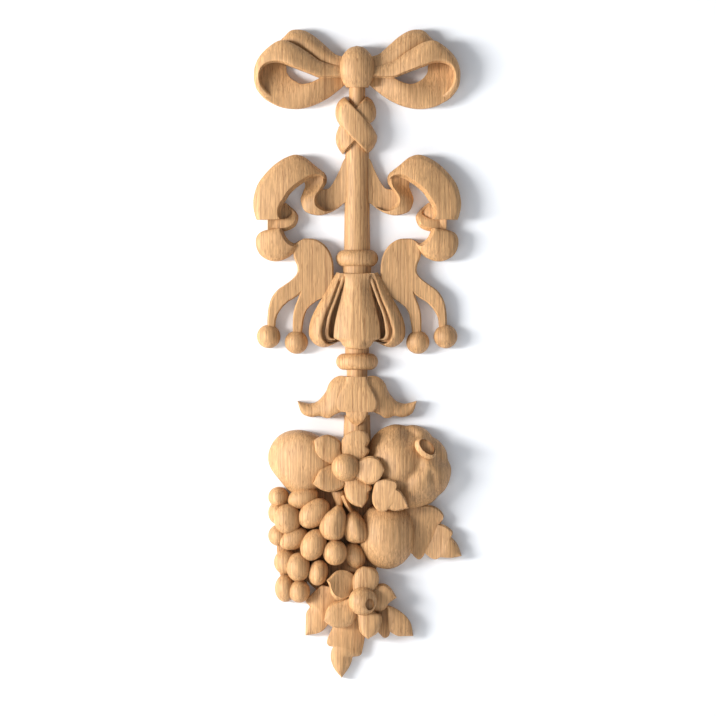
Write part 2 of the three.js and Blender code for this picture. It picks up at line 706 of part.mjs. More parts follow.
// Grapes: place, half widths, top level and lean in degrees
const grapes = [
  [-31.61, -27.02, 4.23, 4.03, 50, 0],
  [-32.22, -33.47, 3.63, 4.44, 44, 0],
  [-31.81, -42.54, 4.03, 4.23, 46, 0],
  [-1.77, -51.01, 4.23, 5.04, 56, 0],
  [-28.79, -53.23, 4.72, 5.04, 48, 0],
  [-28.99, -63.83, 4.15, 5.52, 48, 0],
  [-21.94, -27.42, 6.05, 4.64, 62, 0],
  [-26.37, -44.96, 5.04, 4.44, 58, 0],
  [-23.27, -65.04, 4.31, 4.52, 60, 0],
  [-28.39, -35.48, 5.44, 6.45, 66, 0],
  [-23.67, -55.24, 4.84, 5.85, 64, 0],
  [-15.6, -57.42, 3.95, 5.24, 66, -12],
  [-18.1, -33.47, 5.04, 6.25, 76, -28],
  [-17.66, -46.37, 4.96, 6.45, 76, -18],
  [-8.83, -49.31, 4.84, 5.16, 78, 0],
];
for (const [x, y, wide, high, top, turn] of grapes) {
  forms.push(dome(fruit, { x, y, wide, high, top, turn, shoulder: top - 28 }));
}

// Two figs on their stalks
forms.push(band(fruit, {
  left: [
    [-7.82, -30.04], [-10.65, -32.06], [-13.27, -34.07], [-14.96, -37.1], [-15.08, -40.52],
    [-13.67, -43.35], [-9.84, -44.76]
  ],
  right: [
    [-7.82, -30.04], [-6.01, -31.05], [-4.6, -33.87], [-4.19, -37.5], [-4.72, -41.13],
    [-6.41, -43.75], [-9.84, -44.76]
  ],
  levels: [[61, 56, 50, 50], [64, 83, 86, 83, 53], [61, 56, 50, 50]],
  rows: 8,
  columns: 5,
  round: true,
}));
forms.push(band(fruit, {
  left: [
    [-2.18, -32.06], [-3.39, -34.68], [-4.19, -38.31], [-4.11, -41.53], [-2.78, -44.35],
    [-0.16, -45.56]
  ],
  right: [
    [-2.18, -32.06], [1.05, -33.27], [3.67, -35.48], [5.28, -38.71], [5.08, -42.14],
    [3.27, -44.56], [-0.16, -45.56]
  ],
  levels: [[44, 39, 39, 39], [47, 72, 78, 72, 42], [44, 39, 39, 39]],
  rows: 8,
  columns: 5,
  round: true,
}));
forms.push(band(fruit, {
  left: [[-10.65, -25], [-8.83, -28.23], [-8.43, -31.85]],
  right: [[-6.21, -24.19], [-6.41, -28.23], [-6.21, -31.85]],
  levels: [[50, 50], [67, 67], [50, 50]],
  rows: 3,
  round: true,
}));
forms.push(band(fruit, {
  left: [[-6.61, -26.61], [-5, -30.24], [-3.19, -33.47]],
  right: [[-4.4, -25.81], [-2.98, -29.44], [-1.57, -32.66]],
  levels: [[44, 44], [61, 56], [44, 39]],
  rows: 3,
  round: true,
}));

// Small leaf beside the upper flower
forms.push(band(fruit, {
  left: [
    [7.1, -20.97], [6.41, -24.19], [6.01, -26.61], [6.29, -29.23], [7.5, -31.45], [9.31, -32.66],
    [11.53, -32.66], [12.34, -31.65], [12.34, -31.65], [13.55, -32.14], [15.97, -32.46],
    [20.81, -31.29]
  ],
  right: [
    [9.11, -19.96], [11.53, -19.56], [13.95, -19.96], [15.77, -20.56], [16.21, -21.98],
    [15.77, -23.39], [15.77, -23.39], [17.38, -24.4], [18.79, -26.41], [19.92, -28.63],
    [20.81, -31.29]
  ],
  levels: [[69, 72, 72, 69], [78, 81, 81, 78], [75, 78, 81, 81]],
  rows: 10,
}));

// Upper flower: five petals round a ball
const upperPetals = [
  {
    left: [
      [-6.21, -13.71], [-8.63, -14.11], [-11.85, -13.31], [-15.08, -11.69], [-16.81, -8.87],
      [-17.34, -4.03]
    ],
    right: [
      [-4.6, -11.69], [-6.49, -7.66], [-6.61, -4.84], [-8.63, -3.06], [-11.85, -1.94],
      [-15.08, -2.74], [-17.34, -4.03]
    ],
  },
  {
    left: [
      [-5.4, -13.71], [-6.33, -9.68], [-6.49, -6.45], [-5.81, -3.43], [-3.79, -1.21], [-0.16, 0]
    ],
    right: [
      [-1.37, -14.52], [2.26, -11.94], [4.52, -9.68], [4.92, -7.86], [3.95, -6.77], [5, -4.44],
      [4.27, -1.61], [2.46, -0.16], [-0.16, 0]
    ],
  },
  {
    left: [
      [-2.98, -12.9], [0.24, -12.3], [2.66, -11.09], [5.08, -10.4], [7.9, -11.05], [9.92, -13.1],
      [11.13, -16.13]
    ],
    right: [
      [-2.98, -17.74], [1.05, -20.36], [3.87, -21.65], [6.29, -21.69], [8.91, -20.16],
      [11.13, -16.13]
    ],
  },
  {
    left: [
      [-5.81, -16.13], [-5.4, -21.37], [-5, -25], [-3.79, -28.23], [-1.37, -30.12],
      [1.98, -31.17]
    ],
    right: [
      [-1.37, -16.13], [1.85, -20.36], [5.08, -21.77], [6.01, -23.39], [4.8, -24.8],
      [4.4, -27.82], [1.98, -31.17]
    ],
  },
  {
    left: [
      [-5.81, -12.9], [-9.03, -13.55], [-12.26, -14.6], [-15.08, -16.13], [-16.29, -18.55],
      [-17.9, -21.61]
    ],
    right: [
      [-2.98, -17.74], [-4.19, -21.37], [-6.61, -23.79], [-10.65, -24.84], [-14.27, -24.03],
      [-17.9, -21.61]
    ],
  },
];
for (const petal of upperPetals) {
  forms.push(band(fruit, {
    ...petal,
    levels: [[75, 72, 72, 75], [81, 81, 83, 78], [75, 72, 72, 75]],
    rows: 8,
  }));
}
forms.push(dome(fruit, {
  x: -4.6,
  y: -15.04,
  wide: 5.73,
  high: 5.73,
  top: 100,
  shoulder: 76,
  segments: 20,
}));

// Foot flower: five petals round a ball with a small hole
const footPetals = [
  {
    left: [
      [-2.98, -67.74], [-6.61, -68.67], [-9.44, -67.74], [-10.85, -65.32], [-11.25, -62.5],
      [-12.26, -60.48]
    ],
    right: [
      [-2.18, -65.32], [-1.17, -62.5], [-0.89, -59.48], [-2.38, -57.5], [-5, -56.37],
      [-8.23, -56.69], [-12.26, -60.48]
    ],
  },
  {
    left: [
      [-1.37, -66.94], [-1.77, -63.71], [-1.9, -60.48], [-1.17, -58.06], [0.44, -55.85],
      [2.66, -54.68]
    ],
    right: [
      [4.27, -66.94], [7.5, -63.71], [8.71, -61.29], [8.71, -58.47], [7.1, -55.85],
      [2.66, -54.68]
    ],
  },
  {
    left: [
      [2.66, -65.32], [6.69, -62.9], [8.91, -62.02], [11.13, -62.02], [13.35, -63.47],
      [15.97, -67.46]
    ],
    right: [
      [2.66, -71.77], [6.69, -73.19], [9.52, -72.98], [11.73, -71.61], [12.54, -69.96],
      [15.97, -67.46]
    ],
  },
  {
    left: [
      [-0.56, -70.16], [-0.16, -74.19], [0.44, -77.42], [1.05, -80.85], [2.26, -82.46],
      [4.4, -84.11]
    ],
    right: [
      [5.08, -70.16], [7.7, -73.59], [9.52, -74.19], [10, -76.01], [9.11, -79.84], [7.9, -81.85],
      [4.4, -84.11]
    ],
  },
  {
    left: [
      [-2.98, -66.94], [-6.61, -68.55], [-9.44, -69.35], [-11.45, -70.97], [-12.58, -73.39],
      [-13.47, -76.77]
    ],
    right: [
      [0.24, -71.77], [-0.16, -75], [-2.18, -78.23], [-5.2, -79.44], [-9.44, -79.35],
      [-13.47, -76.77]
    ],
  },
];
for (const petal of footPetals) {
  forms.push(band(fruit, {
    ...petal,
    levels: [[58, 56, 56, 61], [64, 61, 64, 64], [58, 56, 56, 61]],
    rows: 8,
  }));
}
const footBall = dome(fruit, {
  x: 2.26,
  y: -68.75,
  wide: 5.73,
  high: 5.73,
  top: 88,
  shoulder: 64,
  segments: 20,
});
const footBallHole = dome(fruit, {
  x: 5.08,
  y: -69.96,
  wide: 1.85,
  high: 2.02,
  top: 110,
  shoulder: 100,
  segments: 10,
  rings: 2,
});
const footBallFloor = dome(fruit, {
  x: 3.87,
  y: -69.35,
  wide: 3.63,
  high: 3.63,
  top: 68,
  shoulder: 62,
  segments: 14,
  rings: 2,
});

// All forms grow from one piece of wood; the back is planed flat
function joined(list) {
  return list.reduce((whole, form) => whole.add(form));
}
const grown = joined([...forms, footBall, crownRing])
  .subtract(crownHole)
  .subtract(footBallHole);
const whole = joined([grown, crownFloor, footBallFloor]);
const planedOff = solidOf(new THREE.BoxGeometry(1000, 2000, 4 * belowBack)
  .translate(0, 0, -2 * belowBack));
const carved = whole.subtract(planedOff).getMesh();

const shape = new THREE.BufferGeometry();
shape.setAttribute('position', new THREE.BufferAttribute(carved.vertProperties, 3));
shape.setIndex(new THREE.BufferAttribute(carved.triVerts, 1));
shape.computeVertexNormals();

const oak = new THREE.MeshStandardMaterial({ color: 0xc9a06f, roughness: 0.62, metalness: 0 });
const carving = new THREE.Mesh(shape, oak);
carving.name = 'carving';

const drop = new THREE.Group();
drop.rotation.x = Math.PI / 2;
drop.add(carving);

export default drop;
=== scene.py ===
"""Carved oak drop in Blender: the fine surface of the carving over its plain solid, the sanded oak
and a small studio. The carving is shaped on the bench in millimetres, lying on its back: x across,
y up its length, z out of the back plane. It is stood up at the end: +Z up, front towards -Y."""
import math

import bmesh
import bpy
import numpy as np
from mathutils import Matrix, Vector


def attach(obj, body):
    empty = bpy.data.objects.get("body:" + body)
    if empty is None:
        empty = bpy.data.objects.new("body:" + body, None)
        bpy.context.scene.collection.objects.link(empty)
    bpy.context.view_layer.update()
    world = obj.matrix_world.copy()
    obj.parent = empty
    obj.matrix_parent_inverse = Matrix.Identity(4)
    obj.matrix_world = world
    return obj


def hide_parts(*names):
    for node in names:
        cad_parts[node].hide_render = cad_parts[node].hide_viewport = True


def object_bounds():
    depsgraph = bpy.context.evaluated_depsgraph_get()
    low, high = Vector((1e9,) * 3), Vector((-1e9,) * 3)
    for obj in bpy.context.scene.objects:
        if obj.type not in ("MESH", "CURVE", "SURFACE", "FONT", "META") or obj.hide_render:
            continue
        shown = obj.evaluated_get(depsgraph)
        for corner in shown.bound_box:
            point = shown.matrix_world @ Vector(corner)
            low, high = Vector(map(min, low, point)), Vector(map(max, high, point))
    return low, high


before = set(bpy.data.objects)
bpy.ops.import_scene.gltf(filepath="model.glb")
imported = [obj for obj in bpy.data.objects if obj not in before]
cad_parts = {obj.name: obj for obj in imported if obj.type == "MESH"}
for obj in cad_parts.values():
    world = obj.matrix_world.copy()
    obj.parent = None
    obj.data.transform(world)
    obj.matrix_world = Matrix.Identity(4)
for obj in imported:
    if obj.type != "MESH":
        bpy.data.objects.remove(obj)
solid_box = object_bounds()
bpy.ops.object.select_all(action="DESELECT")

# Lengths up the piece, mm, as in the solid
BOW_HEIGHT = 60.9
BOW_NECK_LENGTH = 15
WRAP_HEIGHT = 46.6
POLE_LENGTH = 73.1
UPPER_BEAD_HEIGHT = 13.1
COLLAR_HEIGHT = 6.6
BELL_HEIGHT = 59.7
BELL_NECK_LENGTH = 3.1
LOWER_BEAD_HEIGHT = 12.6
CALYX_NECK_LENGTH = 5.4
CALYX_HEIGHT = 39.3
STEM_LENGTH = 41
RIBBON_HEIGHT = 153.3
FRUIT_HEIGHT = 191

# Widths across the piece, mm
BOW_NECK_WIDTH = 12.6
POLE_TOP_WIDTH = 17.8
POLE_FOOT_WIDTH = 20.2
BEAD_WIDTH = 32.4
COLLAR_WIDTH = 21.8
BELL_NECK_WIDTH = 18.4
CALYX_NECK_WIDTH = 15.8
STEM_WIDTH = 19.8
OUTER_BALL_WIDTH = 18.2
INNER_BALL_WIDTH = 17.9

# Heights of the carving above the back, mm
BOW_RELIEF = 24
WRAP_RELIEF = 19
POLE_RELIEF = 13
BEAD_RELIEF = 18
COLLAR_RELIEF = 14
NECK_RELIEF = 12
RIBBON_RELIEF = 20
BALL_RELIEF = 14
BELL_RELIEF = 24
CALYX_RELIEF = 20
STEM_RELIEF = 15
FRUIT_RELIEF = 36

# Where the parts meet: mm, or shares of a part's height
COLLAR_UNDER_BEAD = 2.7
FRUIT_GAP = 1.5  # from the tip of the calyx down to the fruit
WRAP_BELOW, WRAP_ABOVE = 0.463, 0.51  # share of the wrap below and above its middle
KNOT_SEAT = 0.12  # share of the bow from its neck up to the middle of its knot

# Levels along the piece, from the origin up and down, mm
BELL_FOOT = BELL_NECK_LENGTH
COLLAR_FOOT = BELL_FOOT + BELL_HEIGHT
UPPER_BEAD_FOOT = COLLAR_FOOT + COLLAR_HEIGHT - COLLAR_UNDER_BEAD
POLE_FOOT = UPPER_BEAD_FOOT + UPPER_BEAD_HEIGHT
RIBBON_TOP = POLE_FOOT + POLE_LENGTH
WRAP_MIDDLE = RIBBON_TOP + WRAP_HEIGHT * WRAP_BELOW
KNOT_MIDDLE = WRAP_MIDDLE + WRAP_HEIGHT * WRAP_ABOVE + BOW_NECK_LENGTH + BOW_HEIGHT * KNOT_SEAT
LOWER_BEAD_FOOT = -LOWER_BEAD_HEIGHT
CALYX_TOP = LOWER_BEAD_FOOT - CALYX_NECK_LENGTH
FRUIT_TOP = CALYX_TOP - CALYX_HEIGHT - FRUIT_GAP

STEP = 1.12  # spacing of the points of the fine surface, mm
CURVE_POINTS = 14  # points on a smooth curve from one given point to the next
BELOW_BACK = 3.0  # every form reaches this far below the back plane before the back is planed, mm
THINNEST = 0.5  # lowest top of any form above the back plane, mm
EDGE = 0.55  # radius that sanding leaves on a carved edge, mm
POINTED = 0.3  # a band narrower than this, as at a tip, is level across, mm
SIDES = (-1, 1)

forms = []


# Shaping

def along(values, s):
    """A smooth line through values at even steps, read at s from 0 to 1."""
    v = np.asarray(values, float)
    at = s * (len(v) - 1)
    i = np.minimum(at.astype(int), len(v) - 2)
    t = at - i
    before, here, then = v[np.maximum(i - 1, 0)], v[i], v[i + 1]
    after = v[np.minimum(i + 2, len(v) - 1)]
    lead, trail = (then - before) / 2, (after - here) / 2
    cube = 2 * here - 2 * then + lead + trail
    square = -3 * here + 3 * then - 2 * lead - trail
    return ((cube * t + square) * t + lead) * t + here


def smooth_curve(points):
    """Close points on a smooth curve that runs through the points given."""
    p = np.asarray(points, float)
    p = np.vstack([2 * p[0] - p[1], p, 2 * p[-1] - p[-2]])
    t = np.linspace(0, 1, CURVE_POINTS, endpoint=False)[:, None]
    line = []
    for a, b, c, d in zip(p, p[1:], p[2:], p[3:]):
        first, middle, last = [math.sqrt(np.linalg.norm(k)) for k in (b - a, c - b, d - c)]
        lead = ((b - a) / first - (c - a) / (first + middle) + (c - b) / middle) * middle
        trail = ((c - b) / middle - (d - b) / (middle + last) + (d - c) / last) * middle
        line.append(((2 * b - 2 * c + lead + trail) * t - 3 * b + 3 * c - 2 * lead - trail) * t * t
                    + lead * t + b)
    return np.vstack(line + [p[-2:-1]])


def length_of(line):
    """How long a line of points is."""
    return float(np.linalg.norm(np.diff(line, axis=0), axis=1).sum())


def steps_for(length, fewest, most):
    """How many steps of about STEP a length takes, within limits."""
    return int(np.clip(round(length / STEP), fewest, most))


def even_steps(line, steps):
    """The line drawn again with even steps."""
    reach = np.concatenate([[0], np.cumsum(np.linalg.norm(np.diff(line, axis=0), axis=1))])
    at = np.linspace(0, reach[-1], steps + 1)
    return np.stack([np.interp(at, reach, line[:, k]) for k in range(line.shape[1])], axis=1)


def edge_curves(points):
    """The smooth curves of an edge, parted where a point is given twice, as at a sharp corner."""
    runs = [[points[0]]]
    for before, here in zip(points, points[1:]):
        if tuple(before) == tuple(here):
            runs.append([here])
        else:
            runs[-1].append(here)
    return [smooth_curve(run) for run in runs]


def edge_line(curves, steps):
    """An edge in a given number of steps that keeps its corners."""
    lengths = [length_of(curve) for curve in curves]
    line = [curves[0][:1]]
    left, rest = steps, sum(lengths)
    for i, (curve, length) in enumerate(zip(curves, lengths)):
        spare = len(curves) - 1 - i
        count = left if spare == 0 else min(max(round(left * length / rest), 1), left - spare)
        line.append(even_steps(curve, count)[1:])
        left -= count
        rest -= length
    return np.vstack(line)


class Group:
    """A part of the carving: points in hundredths of its height, levels in hundredths of its
    relief. Side -1 mirrors it across the middle of the piece."""

    def __init__(self, middle, height, relief, side=1):
        self.middle, self.unit, self.relief, self.side = middle, height / 100, relief, side

    def at(self, points):
        """Points as places on the bench, in mm."""
        p = np.asarray(points, float) * self.unit
        return p * (self.side, 1) + (0, self.middle)

    def mm(self, level):
        """A level as a height above the back, in mm."""
        return level * self.relief / 100


def new_form(corners, faces, kind):
    """A closed form from its corners and faces, with doubles merged and its faces outward."""
    mesh = bpy.data.meshes.new(kind)
    mesh.from_pydata([tuple(c) for c in corners], [], faces)
    shape = bmesh.new()
    shape.from_mesh(mesh)
    bmesh.ops.remove_doubles(shape, verts=shape.verts, dist=1e-4)
    bmesh.ops.dissolve_degenerate(shape, edges=shape.edges, dist=1e-4)
    if shape.calc_volume(signed=True) < 0:
        bmesh.ops.reverse_faces(shape, faces=shape.faces)
    shape.to_mesh(mesh)
    shape.free()
    form = bpy.data.objects.new(kind, mesh)
    bpy.context.scene.collection.objects.link(form)
    return form


def walled(top):
    """A form with a gridded top surface and walls that drop straight below the back plane."""
    rows, columns = top.shape[:2]
    corners = list(top.reshape(-1, 3))
    foot = len(corners)
    for row in top:
        corners.append((row[0][0], row[0][1], -BELOW_BACK))
        corners.append((row[-1][0], row[-1][1], -BELOW_BACK))
    faces = []
    for i in range(rows - 1):
        here, then = i * columns, (i + 1) * columns
        low, next_low = foot + 2 * i, foot + 2 * i + 2
        for j in range(columns - 1):
            faces.append((here + j, here + j + 1, then + j + 1, then + j))
        faces.append((here, then, next_low, low))
        faces.append((then + columns - 1, here + columns - 1, low + 1, next_low + 1))
        faces.append((low + 1, low, next_low, next_low + 1))
    last = (rows - 1) * columns
    faces.append((foot, foot + 1, *range(columns - 1, -1, -1)))
    faces.append((foot + 2 * rows - 1, foot + 2 * rows - 2, *range(last, last + columns)))
    return new_form(corners, faces, "band")


def band(place, left, right, levels, arch=False, flat=2, lip=(0, 0), bevel=0, carve=None):
    """A band between two edges. Its top runs through the levels given at even steps along its left
    edge, its middle and its right edge. arch rounds its section over, a high flat keeps it level up
    to its edges, lip cuts a slope of that depth along each edge, bevel mm wide, and carve(s, t,
    from_right) cuts it finer: s along from 0 to 1, t across from -1 to 1, the right edge in mm
    away."""
    left_curves, right_curves = edge_curves(place.at(left)), edge_curves(place.at(right))
    longest = max(sum(map(length_of, left_curves)), sum(map(length_of, right_curves)))
    rows = steps_for(longest, fewest=8, most=130)
    a, b = edge_line(left_curves, rows), edge_line(right_curves, rows)
    width = np.linalg.norm(b - a, axis=1)[:, None]
    safe = np.maximum(width, 1e-6)
    columns = steps_for(width.max(), fewest=4, most=36)
    s = np.linspace(0, 1, rows + 1)[:, None]
    radius, slope = np.minimum(EDGE, width / 4), np.minimum(bevel, width / 4)
    if arch:
        t = np.sin(np.linspace(-1, 1, columns + 1) * math.pi / 2)[None, :] + 0 * s
        drop = 0
    else:
        turn = np.radians([0, 30, 60])[None, :]
        ring = radius * (1 - np.cos(turn)) * 2 / safe
        fall = radius * (1 - np.sin(turn))
        rim = 1 - radius * 2 / safe
        top = 1 - (radius + slope) * 2 / safe
        start, stop = (-top if lip[0] else -rim), (top if lip[1] else rim)
        middle = start + (stop - start) * np.linspace(0, 1, columns + 1)[None, :]
        first, last = ([-rim] if lip[0] else []), ([rim] if lip[1] else [])
        t = np.hstack([ring - 1, *first, middle, *last, (1 - ring)[:, ::-1]])
        untouched = np.zeros((rows + 1, t.shape[1] - 2 * turn.size))
        drop = np.hstack([fall, untouched, fall[:, ::-1]])
    on_left, on_middle, on_right = [along(values, s) for values in levels]
    swell = 1 - np.abs(t) ** flat
    swell = np.sqrt(np.maximum(0, swell)) if arch else swell
    chord = on_left + (on_right - on_left) * (t + 1) / 2
    z = chord + (on_middle - (on_left + on_right) / 2) * swell
    from_left, from_right = (1 + t) / 2 * width, (1 - t) / 2 * width
    for depth, reach in zip(lip, (from_left, from_right)):
        z = z - depth * np.clip(1 - (reach - radius) / np.maximum(slope, 1e-6), 0, 1)
    if carve:
        z = z + carve(s + 0 * t, t, from_right)
    z = np.maximum(place.mm(z), THINNEST + EDGE) - drop
    z = np.where(width < POINTED, z.mean(axis=1, keepdims=True), z)
    spot = a[:, None, :] + (b - a)[:, None, :] * ((t + 1) / 2)[:, :, None]
    forms.append(walled(np.dstack([spot, z])))


def turned(profile, relief, shoulder=0.25, steps=None):
    """A turned form lying half sunk in the back plane: pairs of level along the piece and width.
    shoulder is the share of its relief that its sides rise straight up."""
    line = smooth_curve(profile)
    straight = len(profile) == 2
    line = even_steps(line, steps or (8 if straight else round(length_of(line) / STEP)))
    widest = max(width for _, width in profile)
    columns = steps_for(widest * 1.4, fewest=12, most=40)
    t = np.sin(np.linspace(-1, 1, columns + 1) * math.pi / 2)[None, :]
    y, width = line[:, :1], np.maximum(line[:, 1:], 0.02)
    swell = np.sqrt(np.maximum(0, 1 - np.abs(t) ** 2)) * width / widest
    z = relief * (shoulder + (1 - shoulder) * swell)
    forms.append(walled(np.dstack([t * width / 2, y + 0 * t, z])))


def dome(place, x, y, wide, high, top, shoulder, turn=0, peak=None, outline=None, groove=None,
         keep=True):
    """A round-topped form: half widths, top and shoulder levels, a lean in degrees, and functions
    that swell its outline or groove its top. peak is where its rings close. keep=False leaves it
    out of the forms that are joined first."""
    peak = peak or (x, y)
    size = max(wide, high) * place.unit
    segments = 4 * steps_for(1.6 * size, fewest=6, most=30)
    rings = steps_for(1.2 * size, fewest=6, most=26)
    bend = math.radians(turn)
    cos, sin = math.cos(bend), math.sin(bend)
    swell = outline or np.ones_like
    angle = np.linspace(-math.pi, math.pi, segments, endpoint=False)[None, :]
    reach = np.sin(np.linspace(0, 1, rings + 1) * math.pi / 2)[:, None]
    edge_x = x + swell(angle) * (wide * np.cos(angle) * cos - high * np.sin(angle) * sin)
    edge_y = y + swell(angle) * (wide * np.cos(angle) * sin + high * np.sin(angle) * cos)
    px, py = peak[0] + (edge_x - peak[0]) * reach, peak[1] + (edge_y - peak[1]) * reach
    away_x = ((px - x) * cos + (py - y) * sin) / wide
    away_y = ((py - y) * cos - (px - x) * sin) / high
    out = np.hypot(away_x, away_y) / swell(np.arctan2(away_y, away_x))
    arch = np.sqrt(np.maximum(0, 1 - out * out))
    arch[-1] = 0
    z = shoulder + (top - shoulder) * arch
    if groove:
        z = z - groove(px, py, reach + 0 * px)
    spots = place.at(np.dstack([px, py]).reshape(-1, 2)).reshape(rings + 1, segments, 2)
    z = np.maximum(place.mm(z), THINNEST)
    corners = [(*spots[0, 0], z[0, 0])]
    for ring in range(1, rings + 1):
        corners += [(*spots[ring, k], z[ring, k]) for k in range(segments)]
    corners += [(*spots[rings, k], -BELOW_BACK) for k in range(segments)]
    faces = []
    for k in range(segments):
        then = (k + 1) % segments
        faces.append((0, 1 + k, 1 + then))
        for ring in range(rings):
            inner, outer = 1 + ring * segments, 1 + (ring + 1) * segments
            faces.append((inner + k, outer + k, outer + then, inner + then))
    faces.append(tuple(1 + rings * segments + k for k in range(segments))[::-1])
    form = new_form(corners, faces, "dome")
    if keep:
        forms.append(form)
    return form


def dips(angle, places, depth, width):
    """A dip in a ring of bumps, deepest at each angle listed, in degrees."""
    total = 0
    for degrees in places:
        away = np.mod(np.degrees(angle) - degrees + 180, 360) - 180
        total = total + depth * np.exp(-((away / width) ** 2))
    return total


def bead(foot, height, width, relief):
    """A flattened ring with a rounded rim, from its foot level up."""
    profile = []
    arc = 12  # steps round the rim
    for i in range(arc + 1):
        angle = math.pi * (i / arc - 0.5)
        level = foot + height / 2 * (1 + math.sin(angle))
        profile.append((level, width - height * (1 - math.cos(angle))))
    turned(profile, relief, shoulder=0.2, steps=2 * (arc + 1))


BOW_LIP = 14  # depth of the lip of the bow's front bands, hundredths of its relief
BOW_BEVEL = 0.9  # width of that lip, mm


def fading_lip(s, t, from_right):
    """Fills the lip of the bow's front band again towards its end, where it runs out."""
    filled = np.clip((s - 0.55) / 0.3, 0, 1)
    return BOW_LIP * filled * np.clip(1 - (from_right - EDGE) / BOW_BEVEL, 0, 1)


# Bow: each loop has a rear lobe, a hollow with an open eye, and a front band with a lip
for side in SIDES:
    bow = Group(KNOT_MIDDLE, BOW_HEIGHT, BOW_RELIEF, side)
    lower_edge = [48, 48, 46, 44, 40] if side < 0 else [52, 56, 58, 54, 46]
    band(bow,
        left=[
            [17, 12.7], [27.1, 15.8], [41, 27.8], [53.7, 38.6], [66.3, 45.6], [75.2, 47.1],
            [84.1, 45.6], [92.9, 37.3], [100.5, 30.4],
        ],
        right=[
            [17, -3.8], [30.9, 0], [44.8, 3.8], [57.5, 11.4], [68.9, 19], [77.7, 22.8],
            [86.6, 25.3], [94.2, 26.6], [100.5, 26.6],
        ],
        levels=[[42, 38, 38, 38, 33], [52, 56, 62, 58, 42], lower_edge],
    )
    band(bow,
        left=[
            [120.8, 12.7], [104.3, 13.9], [94.2, 8.9], [89.7, 1.3], [89.1, -6.3], [84.1, -13.9],
            [79, -17.7], [70.1, -21.5], [60, -20.3], [52.4, -17.1], [42.3, -11.4], [29.6, -5.1],
            [14.4, -1.3],
        ],
        right=[
            [125.8, 7.6], [129.6, -3.8], [129.6, -16.5], [126.5, -26.6], [119.5, -37.3],
            [110.6, -44.3], [98, -50.3], [82.8, -53.2], [68.9, -52.5], [53.7, -48.1], [38.5, -40.5],
            [24.6, -30.4], [14.4, -21.5],
        ],
        levels=[
            [18, 16, 22, 44, 52, 42, 22], [22, 24, 38, 52, 54, 44, 24],
            [38, 44, 50, 50, 42, 34, 24],
        ],
        flat=3,
    )
    band(bow,
        left=[
            [14.4, 1.3], [27.1, 1.9], [37.2, 4.2], [47.3, 7.6], [60, 16.5], [75.2, 25.9],
            [87.8, 31.6], [98, 32.5], [110.6, 25.3], [123.3, 12.7], [129.2, 0], [130.5, -11.4],
            [128.4, -25.3], [123.3, -33.5], [115.7, -41.1], [104.3, -47.5],
        ],
        right=[
            [14.4, -13.3], [27.1, -13.9], [37.2, -14.6], [47.3, -13.9], [60, -8.9], [72.7, -4.1],
            [85.3, 0.6], [98, 5], [110, 4.2], [117.2, 0.4], [121.4, -6.5], [122.2, -13.9],
            [120, -22.2], [116, -28.3], [109.4, -34.8], [100.8, -40.2],
        ],
        levels=[
            [50, 60, 70, 80, 70, 58, 48, 34], [64, 72, 84, 94, 90, 78, 62, 40],
            [66, 72, 82, 93, 86, 72, 56, 42],
        ],
        flat=3, lip=(0, BOW_LIP), bevel=BOW_BEVEL, carve=fading_lip,
    )

# Knot of the bow, an egg with a flat foot
KNOT_WIDTH = BOW_HEIGHT * 0.435
knot = [
    (0.26, 0.05), (0.235, 0.42), (0.19, 0.66), (0.13, 0.86), (0.05, 0.97), (-0.04, 1),
    (-0.12, 0.95), (-0.19, 0.83), (-0.26, 0.64),
]
turned([(KNOT_MIDDLE + up * BOW_HEIGHT, across * KNOT_WIDTH) for up, across in knot], BOW_RELIEF,
       shoulder=0.6)

# Neck between the knot and the wrap
turned([(KNOT_MIDDLE, BOW_NECK_WIDTH), (WRAP_MIDDLE, BOW_NECK_WIDTH)], POLE_RELIEF)


def trimmed_ends(s, t, from_right):
    """A bevel over the first and the last twentieth of a wrap band, along its long edges."""
    return -9 * np.clip(1 - np.minimum(s, 1 - s) * 20, 0, 1)


# Wrap: two bands crossing over the pole, the rear one rising to the right
wrap = Group(WRAP_MIDDLE, WRAP_HEIGHT, WRAP_RELIEF)
band(wrap,
    left=[[-30.4, 0], [-34.5, -11.6], [-35.4, -21.5], [-33.7, -29.8], [-29.6, -38], [-23.8, -45.5]],
    right=[[15.9, 50.4], [23.3, 45.5], [28.3, 38], [31.6, 26.4], [29.9, 13.2], [22.5, 6.6]],
    levels=[[18, 20, 14], [82, 84, 84], [18, 20, 14]],
    arch=True, flat=4, carve=trimmed_ends,
)
band(wrap,
    left=[[-21.3, 49.6], [-28.8, 43.8], [-33.7, 36.4], [-35.9, 26.4], [-35, 14.9], [-28.8, 2.5]],
    right=[[24.1, 1.7], [29.1, -6.6], [33.4, -16.5], [30.7, -28.1], [25.8, -36.4], [17.5, -44.6]],
    levels=[[24, 30, 24], [96, 99, 98], [24, 30, 24]],
    arch=True, flat=3, carve=trimmed_ends,
)

# Pole, a half round that widens towards its foot
turned([(POLE_FOOT - 1, POLE_FOOT_WIDTH), (WRAP_MIDDLE, POLE_TOP_WIDTH)], POLE_RELIEF)

